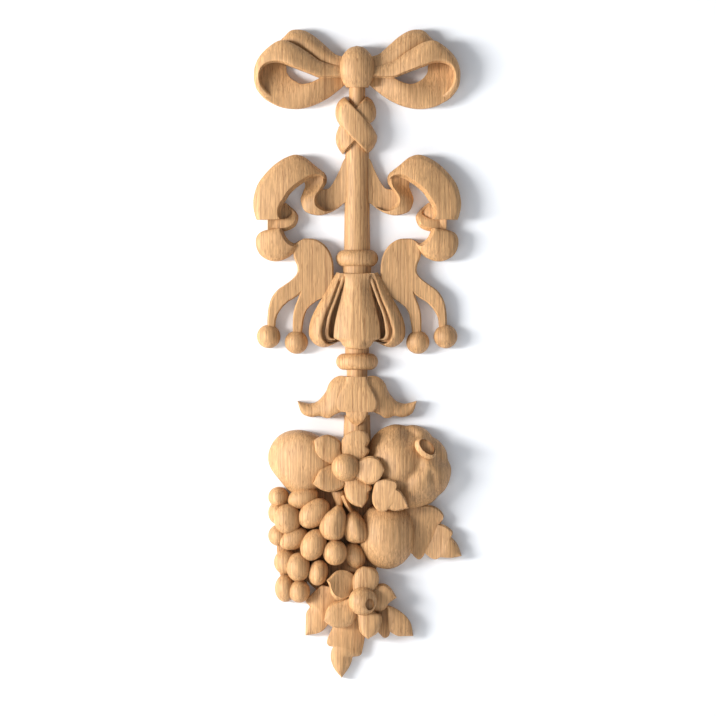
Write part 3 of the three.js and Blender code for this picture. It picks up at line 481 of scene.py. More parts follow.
# Ribbon tails: web, curl, scroll, fold, lower lobe and the forked tail with its two balls
for side in SIDES:
    ribbon = Group(RIBBON_TOP, RIBBON_HEIGHT, RIBBON_RELIEF, side)
    band(ribbon,
        left=[
            [0.2, 2.51], [6.23, -2.01], [8.74, -7.54], [11.76, -13.57], [14.27, -16.83],
            [18.29, -17.59], [21.81, -19.1],
        ],
        right=[
            [0.2, -22.61], [6.23, -24.12], [8.74, -26.13], [11.76, -28.14], [14.77, -29.15],
            [18.29, -28.64], [21.81, -25.63],
        ],
        levels=[[40, 32, 32, 38], [44, 33, 32, 38], [40, 34, 34, 38]],
    )
    band(ribbon,
        left=[
            [29.35, -10.55], [26.83, -13.07], [26.08, -15.58], [27.34, -19.1], [28.34, -22.11],
            [27.84, -25.13], [26.33, -28.14], [22.81, -29.85], [18.79, -30.4], [13.77, -29.15],
            [9.25, -26.63],
        ],
        right=[
            [16.78, -8.54], [15.28, -11.06], [15.43, -14.07], [17.29, -17.09], [19.4, -19.6],
            [20.05, -22.11], [19.5, -24.37], [17.79, -26.13], [15.78, -27.39], [12.76, -27.39],
            [9.25, -25.88],
        ],
        levels=[[30, 32, 50, 66, 58, 44], [38, 46, 68, 76, 64, 46], [48, 62, 70, 78, 62, 46]],
        flat=3, lip=(0, 26), bevel=2.6,
    )
    band(ribbon,
        left=[
            [15.28, -12.06], [16.53, -9.3], [21.31, -5.28], [26.33, -1.26], [30.85, 0],
            [35.88, -1.51], [41.41, -5.03], [46.43, -10.05], [49.95, -15.08], [51.71, -20.6],
            [52.21, -25.13], [51.46, -29.65], [50.45, -32.66],
        ],
        right=[
            [17.04, -12.06], [19.3, -11.36], [23.32, -11.96], [25.83, -13.32], [28.84, -15.33],
            [31.36, -17.34], [33.62, -19.6], [35.38, -22.36], [37.14, -25.13], [38.14, -27.64],
            [38.29, -29.9], [37.79, -31.41], [36.88, -32.41],
        ],
        levels=[[54, 62, 66, 68, 70, 74], [65, 80, 92, 93, 92, 90], [65, 85, 97, 98, 93, 82]],
        flat=4, lip=(5, 36), bevel=2.3,
    )
    band(ribbon,
        left=[[44.92, -30.65], [44.92, -34.17], [44.92, -38.19]],
        right=[[35.88, -23.92], [33.37, -26.13], [31.61, -29.15], [32.36, -33.67], [36.88, -37.94]],
        levels=[[62, 58, 52], [44, 46, 46], [22, 28, 36]],
    )
    band(ribbon,
        left=[
            [37.39, -24.17], [33.62, -25.98], [31.11, -28.14], [29.5, -30.9], [29.85, -33.67],
            [31.11, -35.93], [33.37, -37.44], [36.88, -38.44], [41.41, -38.44], [44.77, -38.19],
        ],
        right=[
            [36.88, -25.73], [34.62, -26.88], [33.12, -28.39], [32.86, -29.65], [34.37, -30.9],
            [36.63, -31.91], [39.4, -31.96], [41.41, -31.66], [43.42, -31.66], [44.77, -31.66],
        ],
        levels=[[30, 38, 54, 56, 50], [26, 38, 56, 56, 50], [24, 34, 50, 50, 46]],
        flat=3, lip=(16, 0), bevel=2.2,
    )
    band(ribbon,
        left=[
            [42.91, -37.34], [46.43, -38.04], [49.2, -39.45], [50.7, -41.96], [50.7, -45.73],
            [49.2, -49.5], [46.43, -52.01], [42.41, -53.42], [38.39, -53.17], [34.37, -51.36],
            [31.36, -48.89], [28.34, -45.73],
        ],
        right=[
            [37.24, -36.83], [36.98, -37.94], [36.38, -39.7], [35.58, -41.21], [34.37, -42.71],
            [32.96, -43.87], [31.86, -44.32], [30.85, -44.22], [29.85, -43.47], [28.34, -42.71],
        ],
        levels=[[62, 60, 58, 52, 40], [75, 80, 76, 66, 44], [76, 82, 78, 68, 44]],
        flat=3, lip=(4, 28), bevel=2.3,
    )
    band(ribbon,
        left=[
            [31.86, -45.73], [31.86, -51.26], [30.1, -55.78], [30.1, -59.3], [32.36, -62.31],
            [36.38, -65.33], [39.9, -67.84], [42.66, -71.36], [44.17, -75.38], [44.92, -80.4],
            [45.03, -91.96],
        ],
        right=[
            [27.34, -42.21], [23.82, -48.74], [22.81, -55.78], [24.32, -61.81], [26.83, -67.84],
            [30.35, -71.11], [34.37, -73.62], [37.14, -76.13], [39.15, -78.89], [40.5, -81.91],
            [41.41, -91.96],
        ],
        levels=[[50, 55, 55, 55, 48, 40]] * 3,
        lip=(5, 5), bevel=0.8,
    )
    band(ribbon,
        left=[
            [31.36, -45.73], [29.85, -50.25], [29.35, -54.77], [29.85, -59.8], [29.85, -64.82],
            [28.84, -68.99], [29.7, -72.36], [31.11, -75.88], [31.96, -79.4], [32.26, -82.91],
            [32.21, -94.47],
        ],
        right=[
            [26.83, -42.01], [21.31, -42.31], [17.29, -44.37], [14.27, -47.74], [12.26, -52.76],
            [11.76, -58.79], [12.01, -64.82], [15.03, -70.35], [20.55, -73.62], [25.33, -78.14],
            [28.44, -94.47],
        ],
        levels=[[50, 55, 55, 55, 48, 40]] * 3,
        lip=(5, 5), bevel=0.8,
    )
    for x, y, width in ((44.42, -91.21, OUTER_BALL_WIDTH), (30.5, -94.12, INNER_BALL_WIDTH)):
        half = width / 2 / ribbon.unit
        dome(ribbon, x, y, half, half, 100 * BALL_RELIEF / RIBBON_RELIEF, 25)

# Beads, collar and necks
bead(UPPER_BEAD_FOOT, UPPER_BEAD_HEIGHT, BEAD_WIDTH, BEAD_RELIEF)
bead(LOWER_BEAD_FOOT, LOWER_BEAD_HEIGHT, BEAD_WIDTH, BEAD_RELIEF)
turned([(COLLAR_FOOT - BELL_HEIGHT * 0.1, COLLAR_WIDTH * 0.92), (COLLAR_FOOT, COLLAR_WIDTH),
        (UPPER_BEAD_FOOT + 1, COLLAR_WIDTH)], COLLAR_RELIEF)
turned([(-1, BELL_NECK_WIDTH), (BELL_FOOT + 3, BELL_NECK_WIDTH)], NECK_RELIEF)
turned([(CALYX_TOP - 3, CALYX_NECK_WIDTH), (LOWER_BEAD_FOOT + 1, CALYX_NECK_WIDTH)], NECK_RELIEF)

# Bell: a middle lobe with slanted sides, over a gouged floor, and on each side a thin rib and a
# broad petal
lobe = [
    [16.2, 97], [15.9, 88.6], [19.8, 71], [25.2, 49], [28.8, 32.3], [30, 20], [29.8, 15.2],
    [27, 13], [22.6, 11.2], [20.3, 8.4], [17.8, 4.6], [14, 2], [7, 0.5], [0, 0],
]


def slanted_sides(s, t, from_right):
    """Slants both sides of the bell's lobe down from a flatter middle, less near its two ends."""
    slant = np.clip((np.abs(t) - 0.24) / 0.76, 0, 1) ** 1.35
    return -5 * t * t - 20 * slant * np.clip(np.minimum(s, 1 - s) / 0.16, 0, 1)


band(Group(BELL_FOOT, BELL_HEIGHT, BELL_RELIEF),
    left=[[-x, y] for x, y in lobe],
    right=lobe,
    levels=[[80, 87, 95, 100, 100, 98, 84]] * 3,
    carve=slanted_sides,
)
for side in SIDES:
    bell = Group(BELL_FOOT, BELL_HEIGHT, BELL_RELIEF, side)
    band(bell,
        left=[
            [22.5, 98.1], [30.2, 76.8], [40.5, 53.5], [47, 35.5], [49.5, 20], [47, 11], [40, 7.4],
            [31, 9], [22, 10.2],
        ],
        right=[[0, y] for y in (98.1, 83.2, 63.9, 44.5, 25.2, 16, 10.2)],
        levels=[[66, 40, 30, 29, 29], [66, 38, 28, 27, 27], [66, 38, 28, 27, 27]],
    )
    band(bell,
        left=[
            [20.5, 97], [24, 88], [32.5, 64.5], [40.5, 45.2], [44.6, 32], [46, 24.5], [45.4, 17.7],
            [43.3, 12.6], [39.8, 8.8],
        ],
        right=[
            [17.6, 95], [20.8, 85.8], [28, 64.5], [36.2, 45.2], [40.2, 27.7], [40.2, 19.4],
            [37, 12.5], [33, 11], [30, 10.6],
        ],
        levels=[[52, 62, 64, 50]] * 3,
    )
    band(bell,
        left=[
            [26.3, 99.4], [32.8, 89.7], [43.1, 70.3], [53.4, 52.3], [59.5, 38.7], [62.2, 25.2],
            [61.4, 16.8], [57.9, 10.1], [52.1, 5.2], [45, 2.8], [38.4, 3.4], [31.8, 6.2],
            [23.7, 10.3],
        ],
        right=[
            [19.4, 97.5], [23, 88], [31.5, 64.5], [39.5, 45.2], [43.6, 32], [45.2, 24.5],
            [44.6, 17.7], [42.5, 12.6], [39.2, 9.4], [36, 7.7], [32.1, 7.4], [28.3, 8.4],
            [23.7, 11],
        ],
        levels=[[40, 44, 46, 42, 25], [54, 68, 76, 74, 40], [57, 71, 78, 76, 42]],
        flat=3, lip=(0, 4), bevel=0.7,
    )
    band(bell,
        left=[
            [18.8, 96.1], [21.9, 85.8], [29.8, 64.5], [37, 45.2], [40.8, 27.7], [41.1, 19.4],
            [38.8, 13.6], [34.4, 11.8], [28.5, 12],
        ],
        right=[
            [15.2, 90.5], [19.4, 80.6], [27.2, 60], [33.3, 43.5], [36.2, 26.8], [36.4, 20],
            [34.8, 15.8], [32.2, 14.4], [28.5, 14.2],
        ],
        levels=[[62, 72, 76, 62], [64, 75, 79, 64], [62, 74, 78, 62]],
    )

# Calyx: two wings that sweep out and curl up at the tip, and a leaf with three lobes over the stem.
# The left wing runs into the leaf, the right one lies lower.
wing_levels = {
    -1: [[76, 54, 40, 32, 34], [90, 85, 66, 52, 48], [82, 76, 54, 42, 36]],
    1: [[66, 52, 40, 32, 34], [78, 78, 62, 52, 48], [62, 64, 52, 42, 36]],
}
for side in SIDES:
    calyx = Group(CALYX_TOP, CALYX_HEIGHT, CALYX_RELIEF, side)
    band(calyx,
        left=[
            [14.5, 0], [34.1, 2], [45.9, -2.9], [54.7, -12.7], [60.6, -27.5], [67.5, -37.3],
            [78.2, -48], [92.9, -52.2], [106.7, -49.6], [117.3, -46.7],
        ],
        right=[
            [10.6, -60.8], [22.4, -64.7], [34.1, -69.6], [44.9, -74.5], [53.7, -80.4],
            [62.5, -80.4], [73.3, -76.5], [89, -78.8], [107.6, -71.6], [117.3, -46.7],
        ],
        levels=wing_levels[side],
        flat=3,
    )
calyx = Group(CALYX_TOP, CALYX_HEIGHT, CALYX_RELIEF)
leaf_edge = [
    [20.4, 0], [23.7, -13.7], [30.2, -25.5], [36.1, -37.3], [39.6, -49], [38.4, -60.8],
    [32.2, -68.2], [22.9, -68.2], [22.9, -68.2], [19.4, -78.4], [12.5, -89.2], [0, -98],
]
band(calyx,
    left=[[-x, y] for x, y in leaf_edge],
    right=leaf_edge,
    levels=[[84, 91, 90, 80, 58], [90, 99, 100, 92, 70], [84, 94, 96, 92, 68]],
    flat=3, lip=(0, 5), bevel=0.8,
)

# Stem down into the fruit
STEM_TOP = CALYX_TOP - CALYX_HEIGHT * 0.75
turned([(STEM_TOP - STEM_LENGTH, STEM_WIDTH * 1.15), (STEM_TOP, STEM_WIDTH)], STEM_RELIEF)

# Fruit, flowers and leaves
fruit = Group(FRUIT_TOP, FRUIT_HEIGHT, FRUIT_RELIEF)

# Leaves behind the fruit: the large leaf on the right and the three at the foot
band(fruit,
    left=[
        [13.95, -39.52], [18.39, -47.18], [21.61, -49.4], [23.23, -51.21], [24.84, -52.22],
        [26.45, -51.21], [27.26, -49.6], [27.26, -49.6], [29.68, -51.61], [31.69, -52.14],
        [33.31, -51.33], [33.31, -51.33], [38.15, -51.49], [42.18, -50.81],
    ],
    right=[
        [13.95, -28.23], [23.23, -30.24], [28.47, -30.24], [31.69, -31.05], [34.11, -33.06],
        [34.92, -35.08], [32.7, -37.5], [32.7, -37.5], [36.13, -38.91], [38.55, -41.13],
        [37.86, -43.15], [37.86, -43.15], [40.36, -45.97], [42.18, -50.81],
    ],
    levels=[
        [22, 26, 25, 22, 27, 32, 24], [22, 28, 27, 20, 28, 34, 26], [24, 31, 31, 26, 29, 28, 20],
    ],
    lip=(0, 5), bevel=0.8,
)
band(fruit,
    left=[
        [-14.27, -62.5], [-18.31, -66.13], [-20.73, -69.15], [-19.11, -71.17], [-20.52, -73.79],
        [-20.73, -78.23], [-20.85, -82.86],
    ],
    right=[
        [-5, -64.52], [-6.61, -68.55], [-8.63, -72.58], [-10.65, -76.21], [-12.26, -79.23],
        [-15.08, -81.65], [-20.85, -82.86],
    ],
    levels=[[25, 22, 22, 19], [31, 31, 28, 22], [28, 25, 25, 19]],
)
band(fruit,
    left=[
        [-7.02, -70.16], [-9.84, -79.44], [-11.65, -83.47], [-12.18, -85.89], [-11.05, -87.18],
        [-9.44, -86.9], [-9.44, -86.9], [-10.52, -89.52], [-10.52, -92.74], [-9.23, -96.17],
        [-6.21, -100],
    ],
    right=[
        [5.89, -70.16], [3.47, -80.65], [2.98, -84.68], [2.26, -88.31], [1.45, -90.73],
        [-1.77, -91.53], [-1.77, -91.53], [-2.26, -93.55], [-3.39, -95.97], [-4.8, -97.98],
        [-6.21, -100],
    ],
    levels=[[32, 28, 27, 23, 19], [36, 32, 30, 29, 21], [24, 20, 17, 16, 13]],
)
band(fruit,
    left=[
        [5.08, -70.56], [6.69, -77.42], [9.11, -82.26], [11.13, -83.87], [12.74, -83.06],
        [13.3, -81.45],
    ],
    right=[
        [7.5, -69.76], [9.6, -69.9], [12, -70.4], [12.5, -74], [12.9, -78], [13.3, -81.45],
    ],
    levels=[[25, 20, 18, 20], [28, 20, 18, 20], [28, 22, 18, 20]],
)
band(fruit,
    left=[
        [12, -70.6], [12.3, -76], [12.8, -80.4], [13.55, -81.45], [13.55, -81.45], [16.37, -82.98],
        [19.19, -83.06], [22.62, -83.06],
    ],
    right=[
        [12, -70.6], [14.35, -71.37], [17.18, -72.98], [19.6, -75], [21.41, -77.42],
        [22.22, -80.04], [22.62, -83.06],
    ],
    levels=[[40, 38, 34, 22], [44, 44, 38, 24], [42, 40, 34, 22]],
)

# Ground of the cluster, seen only in the hollows between the fruit
dome(fruit, -7.82, -39.11, 19.35, 28.23, top=9, shoulder=6)
dome(fruit, -25.16, -46.37, 7.26, 20.97, top=9, shoulder=6)

# Pear on the left
band(fruit,
    left=[
        [-19.11, -0.73], [-23.95, 0], [-29.19, -1.01], [-33.02, -3.83], [-35.24, -7.66],
        [-35.89, -11.29], [-35.04, -15.12], [-32.82, -18.35], [-30.81, -20.77], [-28.79, -23.19],
        [-25.97, -25.81],
    ],
    right=[
        [-19.11, -0.73], [-14.68, -3.02], [-10.65, -6.85], [-8.63, -11.29], [-9.44, -15.73],
        [-11.85, -19.35], [-14.68, -22.18], [-17.5, -24.19], [-20.32, -25.6], [-23.15, -26.41],
        [-25.97, -25.81],
    ],
    levels=[[22, 17, 14, 17, 22], [22, 64, 75, 69, 61, 28], [22, 28, 39, 33, 22]],
    arch=True,
)

# Pomegranate on the right: lobes parted by valleys below its crown, each valley with its start, its
# direction in degrees, its depth, its width and the length over which it deepens, and round dips
# with their place, depth and width
CROWN = (27.26, -6.85)
VALLEYS = (
    (28.5, -5.3, 51, 8, 2.4, 4), (25.3, -4.5, 130, 12, 2.2, 4), (27.3, -11.6, 231, 15, 2.8, 5),
    (29.3, -14.8, 284, 9, 1.4, 4), (30.5, -9.1, 325, 11, 2.2, 4),
)
CROWN_DIPS = ((27.3, -6.9, 15, 6.8), (24.8, -11.4, 5, 4), (20.3, -2.4, 7, 3.4))


def pomegranate_outline(angle):
    """Swells the pomegranate at its upper left and draws it in between its lobes."""
    return (1 + dips(angle, (135,), 0.13, 35) - dips(angle, (40,), 0.06, 32)
            - dips(angle, (53, 11, 96), 0.05, 8) - dips(angle, (-45,), 0.03, 8))


def pomegranate_grooves(x, y, reach):
    """The depth of the valleys and dips at each point, none at the outline."""
    valley = 0
    for start_x, start_y, degrees, depth, width, run in VALLEYS:
        cos, sin = math.cos(math.radians(degrees)), math.sin(math.radians(degrees))
        on = (x - start_x) * cos + (y - start_y) * sin
        off = (y - start_y) * cos - (x - start_x) * sin
        rise = np.clip(on / run, 0, 1)
        rise = rise * rise * (3 - 2 * rise)
        valley = np.maximum(valley, depth * rise * np.exp(-(np.abs(off) / width) ** 1.5))
    for dip_x, dip_y, depth, width in CROWN_DIPS:
        valley = valley + depth * np.exp(-(np.hypot(x - dip_x, y - dip_y) / width) ** 2)
    return valley * (1 - reach ** 4)


dome(fruit, 21.21, -14.92, 16.94, 16.94, top=87, shoulder=16, peak=CROWN,
     outline=pomegranate_outline, groove=pomegranate_grooves)
dome(fruit, CROWN[0] + 0.1, CROWN[1] - 0.6, 5.0, 3.3, top=84, shoulder=72, turn=-45)
crown_hole = dome(fruit, CROWN[0] + 0.9, CROWN[1] + 0.1, 3.9, 2.2, top=110, shoulder=100,
                  turn=-45, keep=False)
crown_floor = dome(fruit, CROWN[0] + 0.6, CROWN[1], 3.7, 2.5, top=68, shoulder=66, turn=-45,
                   keep=False)

# Apple under the small leaf
dome(fruit, 11.94, -42.34, 11.49, 13.71, top=76, shoulder=16)

# Grapes: place, half widths, top level and lean in degrees
grapes = [
    [-31.61, -27.02, 4.23, 4.03, 50, 0], [-32.22, -33.47, 3.63, 4.44, 44, 0],
    [-31.81, -42.54, 4.03, 4.23, 46, 0], [-0.97, -50.6, 4.1, 5.6, 54, 25],
    [-28.79, -53.23, 4.72, 5.04, 48, 0], [-28.99, -63.83, 4.15, 5.52, 48, 0],
    [-21.8, -27.3, 6.35, 4.3, 64, 18], [-25.5, -43.7, 6.15, 4.4, 58, 25],
    [-23.27, -65.04, 4.31, 4.52, 60, 0], [-28.0, -35.9, 5.5, 6.2, 66, 0],
    [-23.67, -55.24, 4.84, 5.85, 66, 0], [-15.6, -57.42, 3.95, 5.24, 66, -12],
    [-17.3, -33.5, 7.1, 5.2, 76, 42], [-17.5, -46.2, 5.0, 6.7, 76, -27],
    [-8.83, -49.31, 4.84, 5.16, 80, 0],
]
for x, y, wide, high, top, turn in grapes:
    dome(fruit, x, y, wide, high, top, top - 28, turn)

# Two figs on their stalks
band(fruit,
    left=[
        [-7.82, -30.04], [-10.65, -32.06], [-13.27, -34.07], [-14.96, -37.1], [-15.08, -40.52],
        [-13.67, -43.35], [-9.84, -44.76],
    ],
    right=[
        [-7.82, -30.04], [-6.01, -31.05], [-4.6, -33.87], [-4.19, -37.5], [-4.72, -41.13],
        [-6.41, -43.75], [-9.84, -44.76],
    ],
    levels=[[61, 56, 50, 50], [64, 83, 86, 83, 53], [61, 56, 50, 50]],
    arch=True,
)
band(fruit,
    left=[
        [-2.18, -32.06], [-4.4, -34.68], [-5.6, -38.31], [-5.4, -41.53], [-4.2, -44.3],
        [-1.2, -45.7],
    ],
    right=[
        [-2.18, -32.06], [0.3, -33.3], [3.2, -36.9], [5, -41], [4.6, -43.6], [2.2, -45.3],
        [-1.2, -45.7],
    ],
    levels=[[44, 39, 39, 39], [47, 72, 78, 72, 42], [44, 39, 39, 39]],
    arch=True,
)
band(fruit,
    left=[[-10.4, -25.2], [-9.1, -28.6], [-8.2, -31.85]],
    right=[[-4.6, -24.19], [-5.4, -28.23], [-6, -31.85]],
    levels=[[20, 36], [34, 54], [26, 40]],
    arch=True,
)
band(fruit,
    left=[[-6.61, -26.61], [-5, -30.24], [-3.19, -33.47]],
    right=[[-4.4, -25.81], [-2.98, -29.44], [-1.57, -32.66]],
    levels=[[44, 44], [61, 56], [44, 39]],
    arch=True,
)

# Small leaf beside the upper flower
band(fruit,
    left=[
        [7.1, -20.97], [6.41, -24.19], [6.01, -26.61], [6.29, -29.23], [7.5, -31.45],
        [9.31, -32.66], [11.53, -32.66], [12.34, -31.65], [12.34, -31.65], [13.55, -32.14],
        [15.97, -32.46], [20.81, -31.29],
    ],
    right=[
        [9.11, -19.96], [11.53, -19.56], [13.95, -19.96], [15.77, -20.56], [16.21, -21.98],
        [15.77, -23.39], [15.77, -23.39], [17.38, -24.4], [18.79, -26.41], [19.92, -28.63],
        [20.81, -31.29],
    ],
    levels=[[80, 84, 84, 82], [84, 89, 91, 88], [86, 90, 92, 90]],
    flat=4, lip=(4, 4), bevel=0.8,
)

FLOWER_BALL = 5.73  # half width of the ball in each flower, hundredths of the fruit's height

# Upper flower: five petals round a ball
upper_petals = [
    ([
        [-6.21, -13.71], [-8.63, -14.11], [-11.85, -13.31], [-15.08, -11.69], [-16.81, -8.87],
        [-17.34, -4.03],
    ], [
        [-4.6, -11.69], [-6.49, -7.66], [-6.61, -4.84], [-8.63, -3.06], [-11.85, -1.94],
        [-15.08, -2.74], [-17.34, -4.03],
    ]),
    ([
        [-5.4, -13.71], [-6.33, -9.68], [-6.49, -6.45], [-5.81, -3.43], [-3.79, -1.21], [-0.16, 0],
    ], [
        [-1.37, -14.52], [2.26, -11.94], [4.52, -9.68], [4.92, -7.86], [3.95, -6.77], [5, -4.44],
        [4.27, -1.61], [2.46, -0.16], [-0.16, 0],
    ]),
    ([
        [-2.98, -12.9], [0.24, -12.3], [2.66, -11.09], [5.08, -10.4], [7.9, -11.05], [9.92, -13.1],
        [11.13, -16.13],
    ], [
        [-2.98, -17.74], [1.05, -20.36], [3.87, -21.65], [6.29, -21.69], [8.91, -20.16],
        [11.13, -16.13],
    ]),
    ([
        [-5.81, -16.13], [-5.4, -21.37], [-5, -25], [-3.79, -28.23], [-1.37, -30.12],
        [1.98, -31.17],
    ], [
        [-1.37, -16.13], [1.85, -20.36], [5.08, -21.77], [6.01, -23.39], [4.8, -24.8],
        [4.4, -27.82], [1.98, -31.17],
    ]),
    ([
        [-5.81, -12.9], [-9.03, -13.55], [-12.26, -14.6], [-15.08, -16.13], [-16.29, -18.55],
        [-17.9, -21.61],
    ], [
        [-2.98, -17.74], [-4.19, -21.37], [-6.61, -23.79], [-10.65, -24.84], [-14.27, -24.03],
        [-17.9, -21.61],
    ]),
]
rising = [[70, 80, 87, 87], [72, 84, 92, 90], [70, 80, 87, 87]]
resting = [[64, 70, 76, 76], [66, 75, 82, 80], [64, 70, 76, 76]]
soft_rim = {"flat": 3, "lip": (5, 5), "bevel": 0.9}
for (left, right), levels in zip(upper_petals, (resting, resting, rising, resting, resting)):
    band(fruit, left, right, levels, **soft_rim)
dome(fruit, -4.6, -15.04, FLOWER_BALL, FLOWER_BALL, top=100, shoulder=66)

# Foot flower: five petals round a ball with a small hole
foot_petals = [
    ([
        [-2.98, -67.74], [-6.61, -68.67], [-9.44, -67.74], [-10.85, -65.32], [-11.25, -62.5],
        [-12.26, -60.48],
    ], [
        [-2.18, -65.32], [-1.17, -62.5], [-0.89, -59.48], [-2.38, -57.5], [-5, -56.37],
        [-8.23, -56.69], [-12.26, -60.48],
    ]),
    ([
        [-1.37, -66.94], [-1.77, -63.71], [-1.9, -60.48], [-1.17, -58.06], [0.44, -55.85],
        [2.66, -54.68],
    ], [
        [4.27, -66.94], [7.5, -63.71], [8.71, -61.29], [8.71, -58.47], [7.1, -55.85],
        [2.66, -54.68],
    ]),
    ([
        [2.66, -65.32], [6.69, -62.9], [8.91, -62.02], [11.13, -62.02], [13.35, -63.47],
        [15.97, -67.46],
    ], [
        [2.66, -71.77], [6.69, -73.19], [9.52, -72.98], [11.73, -71.61], [12.54, -69.96],
        [15.97, -67.46],
    ]),
    ([
        [-0.56, -70.16], [-0.16, -74.19], [0.44, -77.42], [1.05, -80.85], [2.26, -82.46],
        [4.4, -84.11],
    ], [
        [5.08, -70.16], [7.7, -73.59], [9.52, -74.19], [10, -76.01], [9.11, -79.84], [7.9, -81.85],
        [4.4, -84.11],
    ]),
    ([
        [-2.98, -66.94], [-6.61, -68.55], [-9.44, -69.35], [-11.45, -70.97], [-12.58, -73.39],
        [-13.47, -76.77],
    ], [
        [0.24, -71.77], [-0.16, -75], [-2.18, -78.23], [-5.2, -79.44], [-9.44, -79.35],
        [-13.47, -76.77],
    ]),
]
cupped = [[66, 72, 76, 74], [54, 58, 66, 72], [50, 52, 58, 68]]
domed = [[56, 56, 58, 58], [60, 64, 66, 62], [56, 56, 58, 58]]
lower = [[46, 46, 48, 48], [50, 53, 54, 50], [46, 46, 48, 48]]
cupped_rim = {"flat": 3, "lip": (14, 3), "bevel": 2.4}
for (left, right), levels in zip(foot_petals, (cupped, domed, lower, domed, domed)):
    band(fruit, left, right, levels, **(cupped_rim if levels is cupped else soft_rim))
dome(fruit, 2.26, -68.75, FLOWER_BALL, FLOWER_BALL, top=92, shoulder=62)
ball_hole = dome(fruit, 5.08, -69.96, 1.85, 2.35, top=110, shoulder=100, keep=False)
ball_floor = dome(fruit, 3.87, -69.35, 3.63, 3.63, top=75, shoulder=68, keep=False)


# Joining

def modified(piece, kind, name, **settings):
    """Applies a modifier to a piece."""
    bpy.ops.object.select_all(action="DESELECT")
    piece.select_set(True)
    bpy.context.view_layer.objects.active = piece
    modifier = piece.modifiers.new(name, kind)
    for key, value in settings.items():
        setattr(modifier, key, value)
    bpy.ops.object.modifier_apply(modifier=modifier.name)


def joined(pieces):
    """All pieces as one, joined two by two."""
    while len(pieces) > 1:
        rest = []
        for one, other in zip(pieces[::2], pieces[1::2]):
            modified(one, "BOOLEAN", "join", operation="UNION", solver="MANIFOLD", object=other)
            bpy.data.objects.remove(other)
            rest.append(one)
        pieces = rest + ([pieces[-1]] if len(pieces) % 2 else [])
    return pieces[0]


def cut(piece, tool):
    """Cuts a tool out of a piece and puts the tool away."""
    modified(piece, "BOOLEAN", "cut", operation="DIFFERENCE", solver="MANIFOLD", object=tool)
    bpy.data.objects.remove(tool)


carved_oak = joined(forms)
cut(carved_oak, crown_hole)
cut(carved_oak, ball_hole)
carved_oak = joined([carved_oak, crown_floor, ball_floor])

# The back is planed flat with a block that has its top in the back plane
bpy.ops.mesh.primitive_cube_add(size=1, location=(0, 0, -2 * BELOW_BACK))
block = bpy.context.object
block.scale = (1000, 2000, 4 * BELOW_BACK)
bpy.ops.object.transform_apply(location=True, rotation=True, scale=True)
cut(carved_oak, block)
carved_oak.name = carved_oak.data.name = "carved_oak"

# The carving is stood up in metres and kept within the size of the solid
carved_oak.data.transform(Matrix.Scale(0.001, 4) @ Matrix.Rotation(math.radians(90), 4, "X"))
low, high = solid_box
for corner in carved_oak.data.vertices:
    corner.co = [min(max(c, a), b) for c, a, b in zip(corner.co, low, high)]
carved_oak.data.update()
bpy.ops.object.select_all(action="DESELECT")
carved_oak.select_set(True)
bpy.context.view_layer.objects.active = carved_oak
bpy.ops.object.shade_smooth_by_angle(angle=math.radians(38))
modified(carved_oak, "WEIGHTED_NORMAL", "facets", mode="FACE_AREA", keep_sharp=True)


# Finish

def colour(code):
    """An sRGB hex value as linear colour."""
    parts = [int(code[i:i + 2], 16) / 255 for i in (1, 3, 5)]
    return (*[c / 12.92 if c <= 0.04045 else ((c + 0.055) / 1.055) ** 2.4 for c in parts], 1)


def node(tree, kind, links=None, stops=(), **settings):
    """Adds a node with its settings and colour stops, and links its inputs by name or number."""
    made = tree.nodes.new("ShaderNode" + kind)
    for key, value in settings.items():
        setattr(made, key, value)
    for count, (position, code) in enumerate(stops):
        bar = made.color_ramp.elements
        stop = bar[count] if count < 2 else bar.new(position)
        stop.position, stop.color = position, colour(code)
    for key, value in (links or {}).items():
        socket = made.inputs[key]
        if isinstance(value, bpy.types.NodeSocket):
            tree.links.new(value, socket)
        else:
            socket.default_value = value
    return made


def finish(name):
    """A new material: its tree, its shader and its output."""
    material = bpy.data.materials.new(name)
    material.use_nodes = True
    tree = material.node_tree
    tree.nodes.clear()
    shader = node(tree, "BsdfPrincipled")
    node(tree, "OutputMaterial", {"Surface": shader.outputs[0]})
    return material, tree, shader


# Sanded oak, bare: pale rift-sawn wood. Its growth rings show as upright lines at uneven distances,
# 1 to 4 mm apart, each its own depth of brown, that sway a little and bend where the carving rounds
# over; short brown flecks of pores run along them, and the sanded fibres give a soft sheen. The
# fibres and the pores are drawn coarser than real ones, which are too fine to show at this size.
RING_SPACING = 0.0024  # mean distance of the rings, m
SWAY = 0.011  # how far the grain wanders, m
HEART = (0.45, -0.1, 0)  # from the heart of the trunk to the middle of the piece, m
oak, tree, shader = finish("sanded oak")
here = node(tree, "TexCoord").outputs["Object"]
slow = node(tree, "Mapping", {"Vector": here, "Scale": (30, 12, 3)}).outputs[0]
slow = node(tree, "TexNoise", {"Vector": slow, "Scale": 1.0, "Detail": 3.0, "Roughness": 0.6})
sway = node(tree, "VectorMath", {0: slow.outputs["Color"], 1: (0.5, 0.5, 0.5)},
            operation="SUBTRACT").outputs[0]
sway = node(tree, "VectorMath", {0: sway, "Scale": SWAY}, operation="SCALE").outputs[0]
bent = node(tree, "VectorMath", {0: here, 1: sway}, operation="ADD").outputs[0]
heart = node(tree, "VectorMath", {0: bent, 1: HEART}, operation="ADD").outputs[0]
heart = node(tree, "VectorMath", {0: heart, 1: (1, 0.3, 0.02)}, operation="MULTIPLY").outputs[0]
radius = node(tree, "VectorMath", {0: heart}, operation="LENGTH").outputs["Value"]
uneven = node(tree, "TexNoise", {"W": radius, "Scale": 170.0, "Detail": 2.0},
              noise_dimensions="1D")
uneven = node(tree, "Math", {0: uneven.outputs["Fac"], 1: 3.0}, operation="MULTIPLY").outputs[0]
rings = node(tree, "Math", {0: radius, 1: 1 / RING_SPACING}, operation="MULTIPLY").outputs[0]
rings = node(tree, "Math", {0: rings, 1: uneven}, operation="ADD").outputs[0]
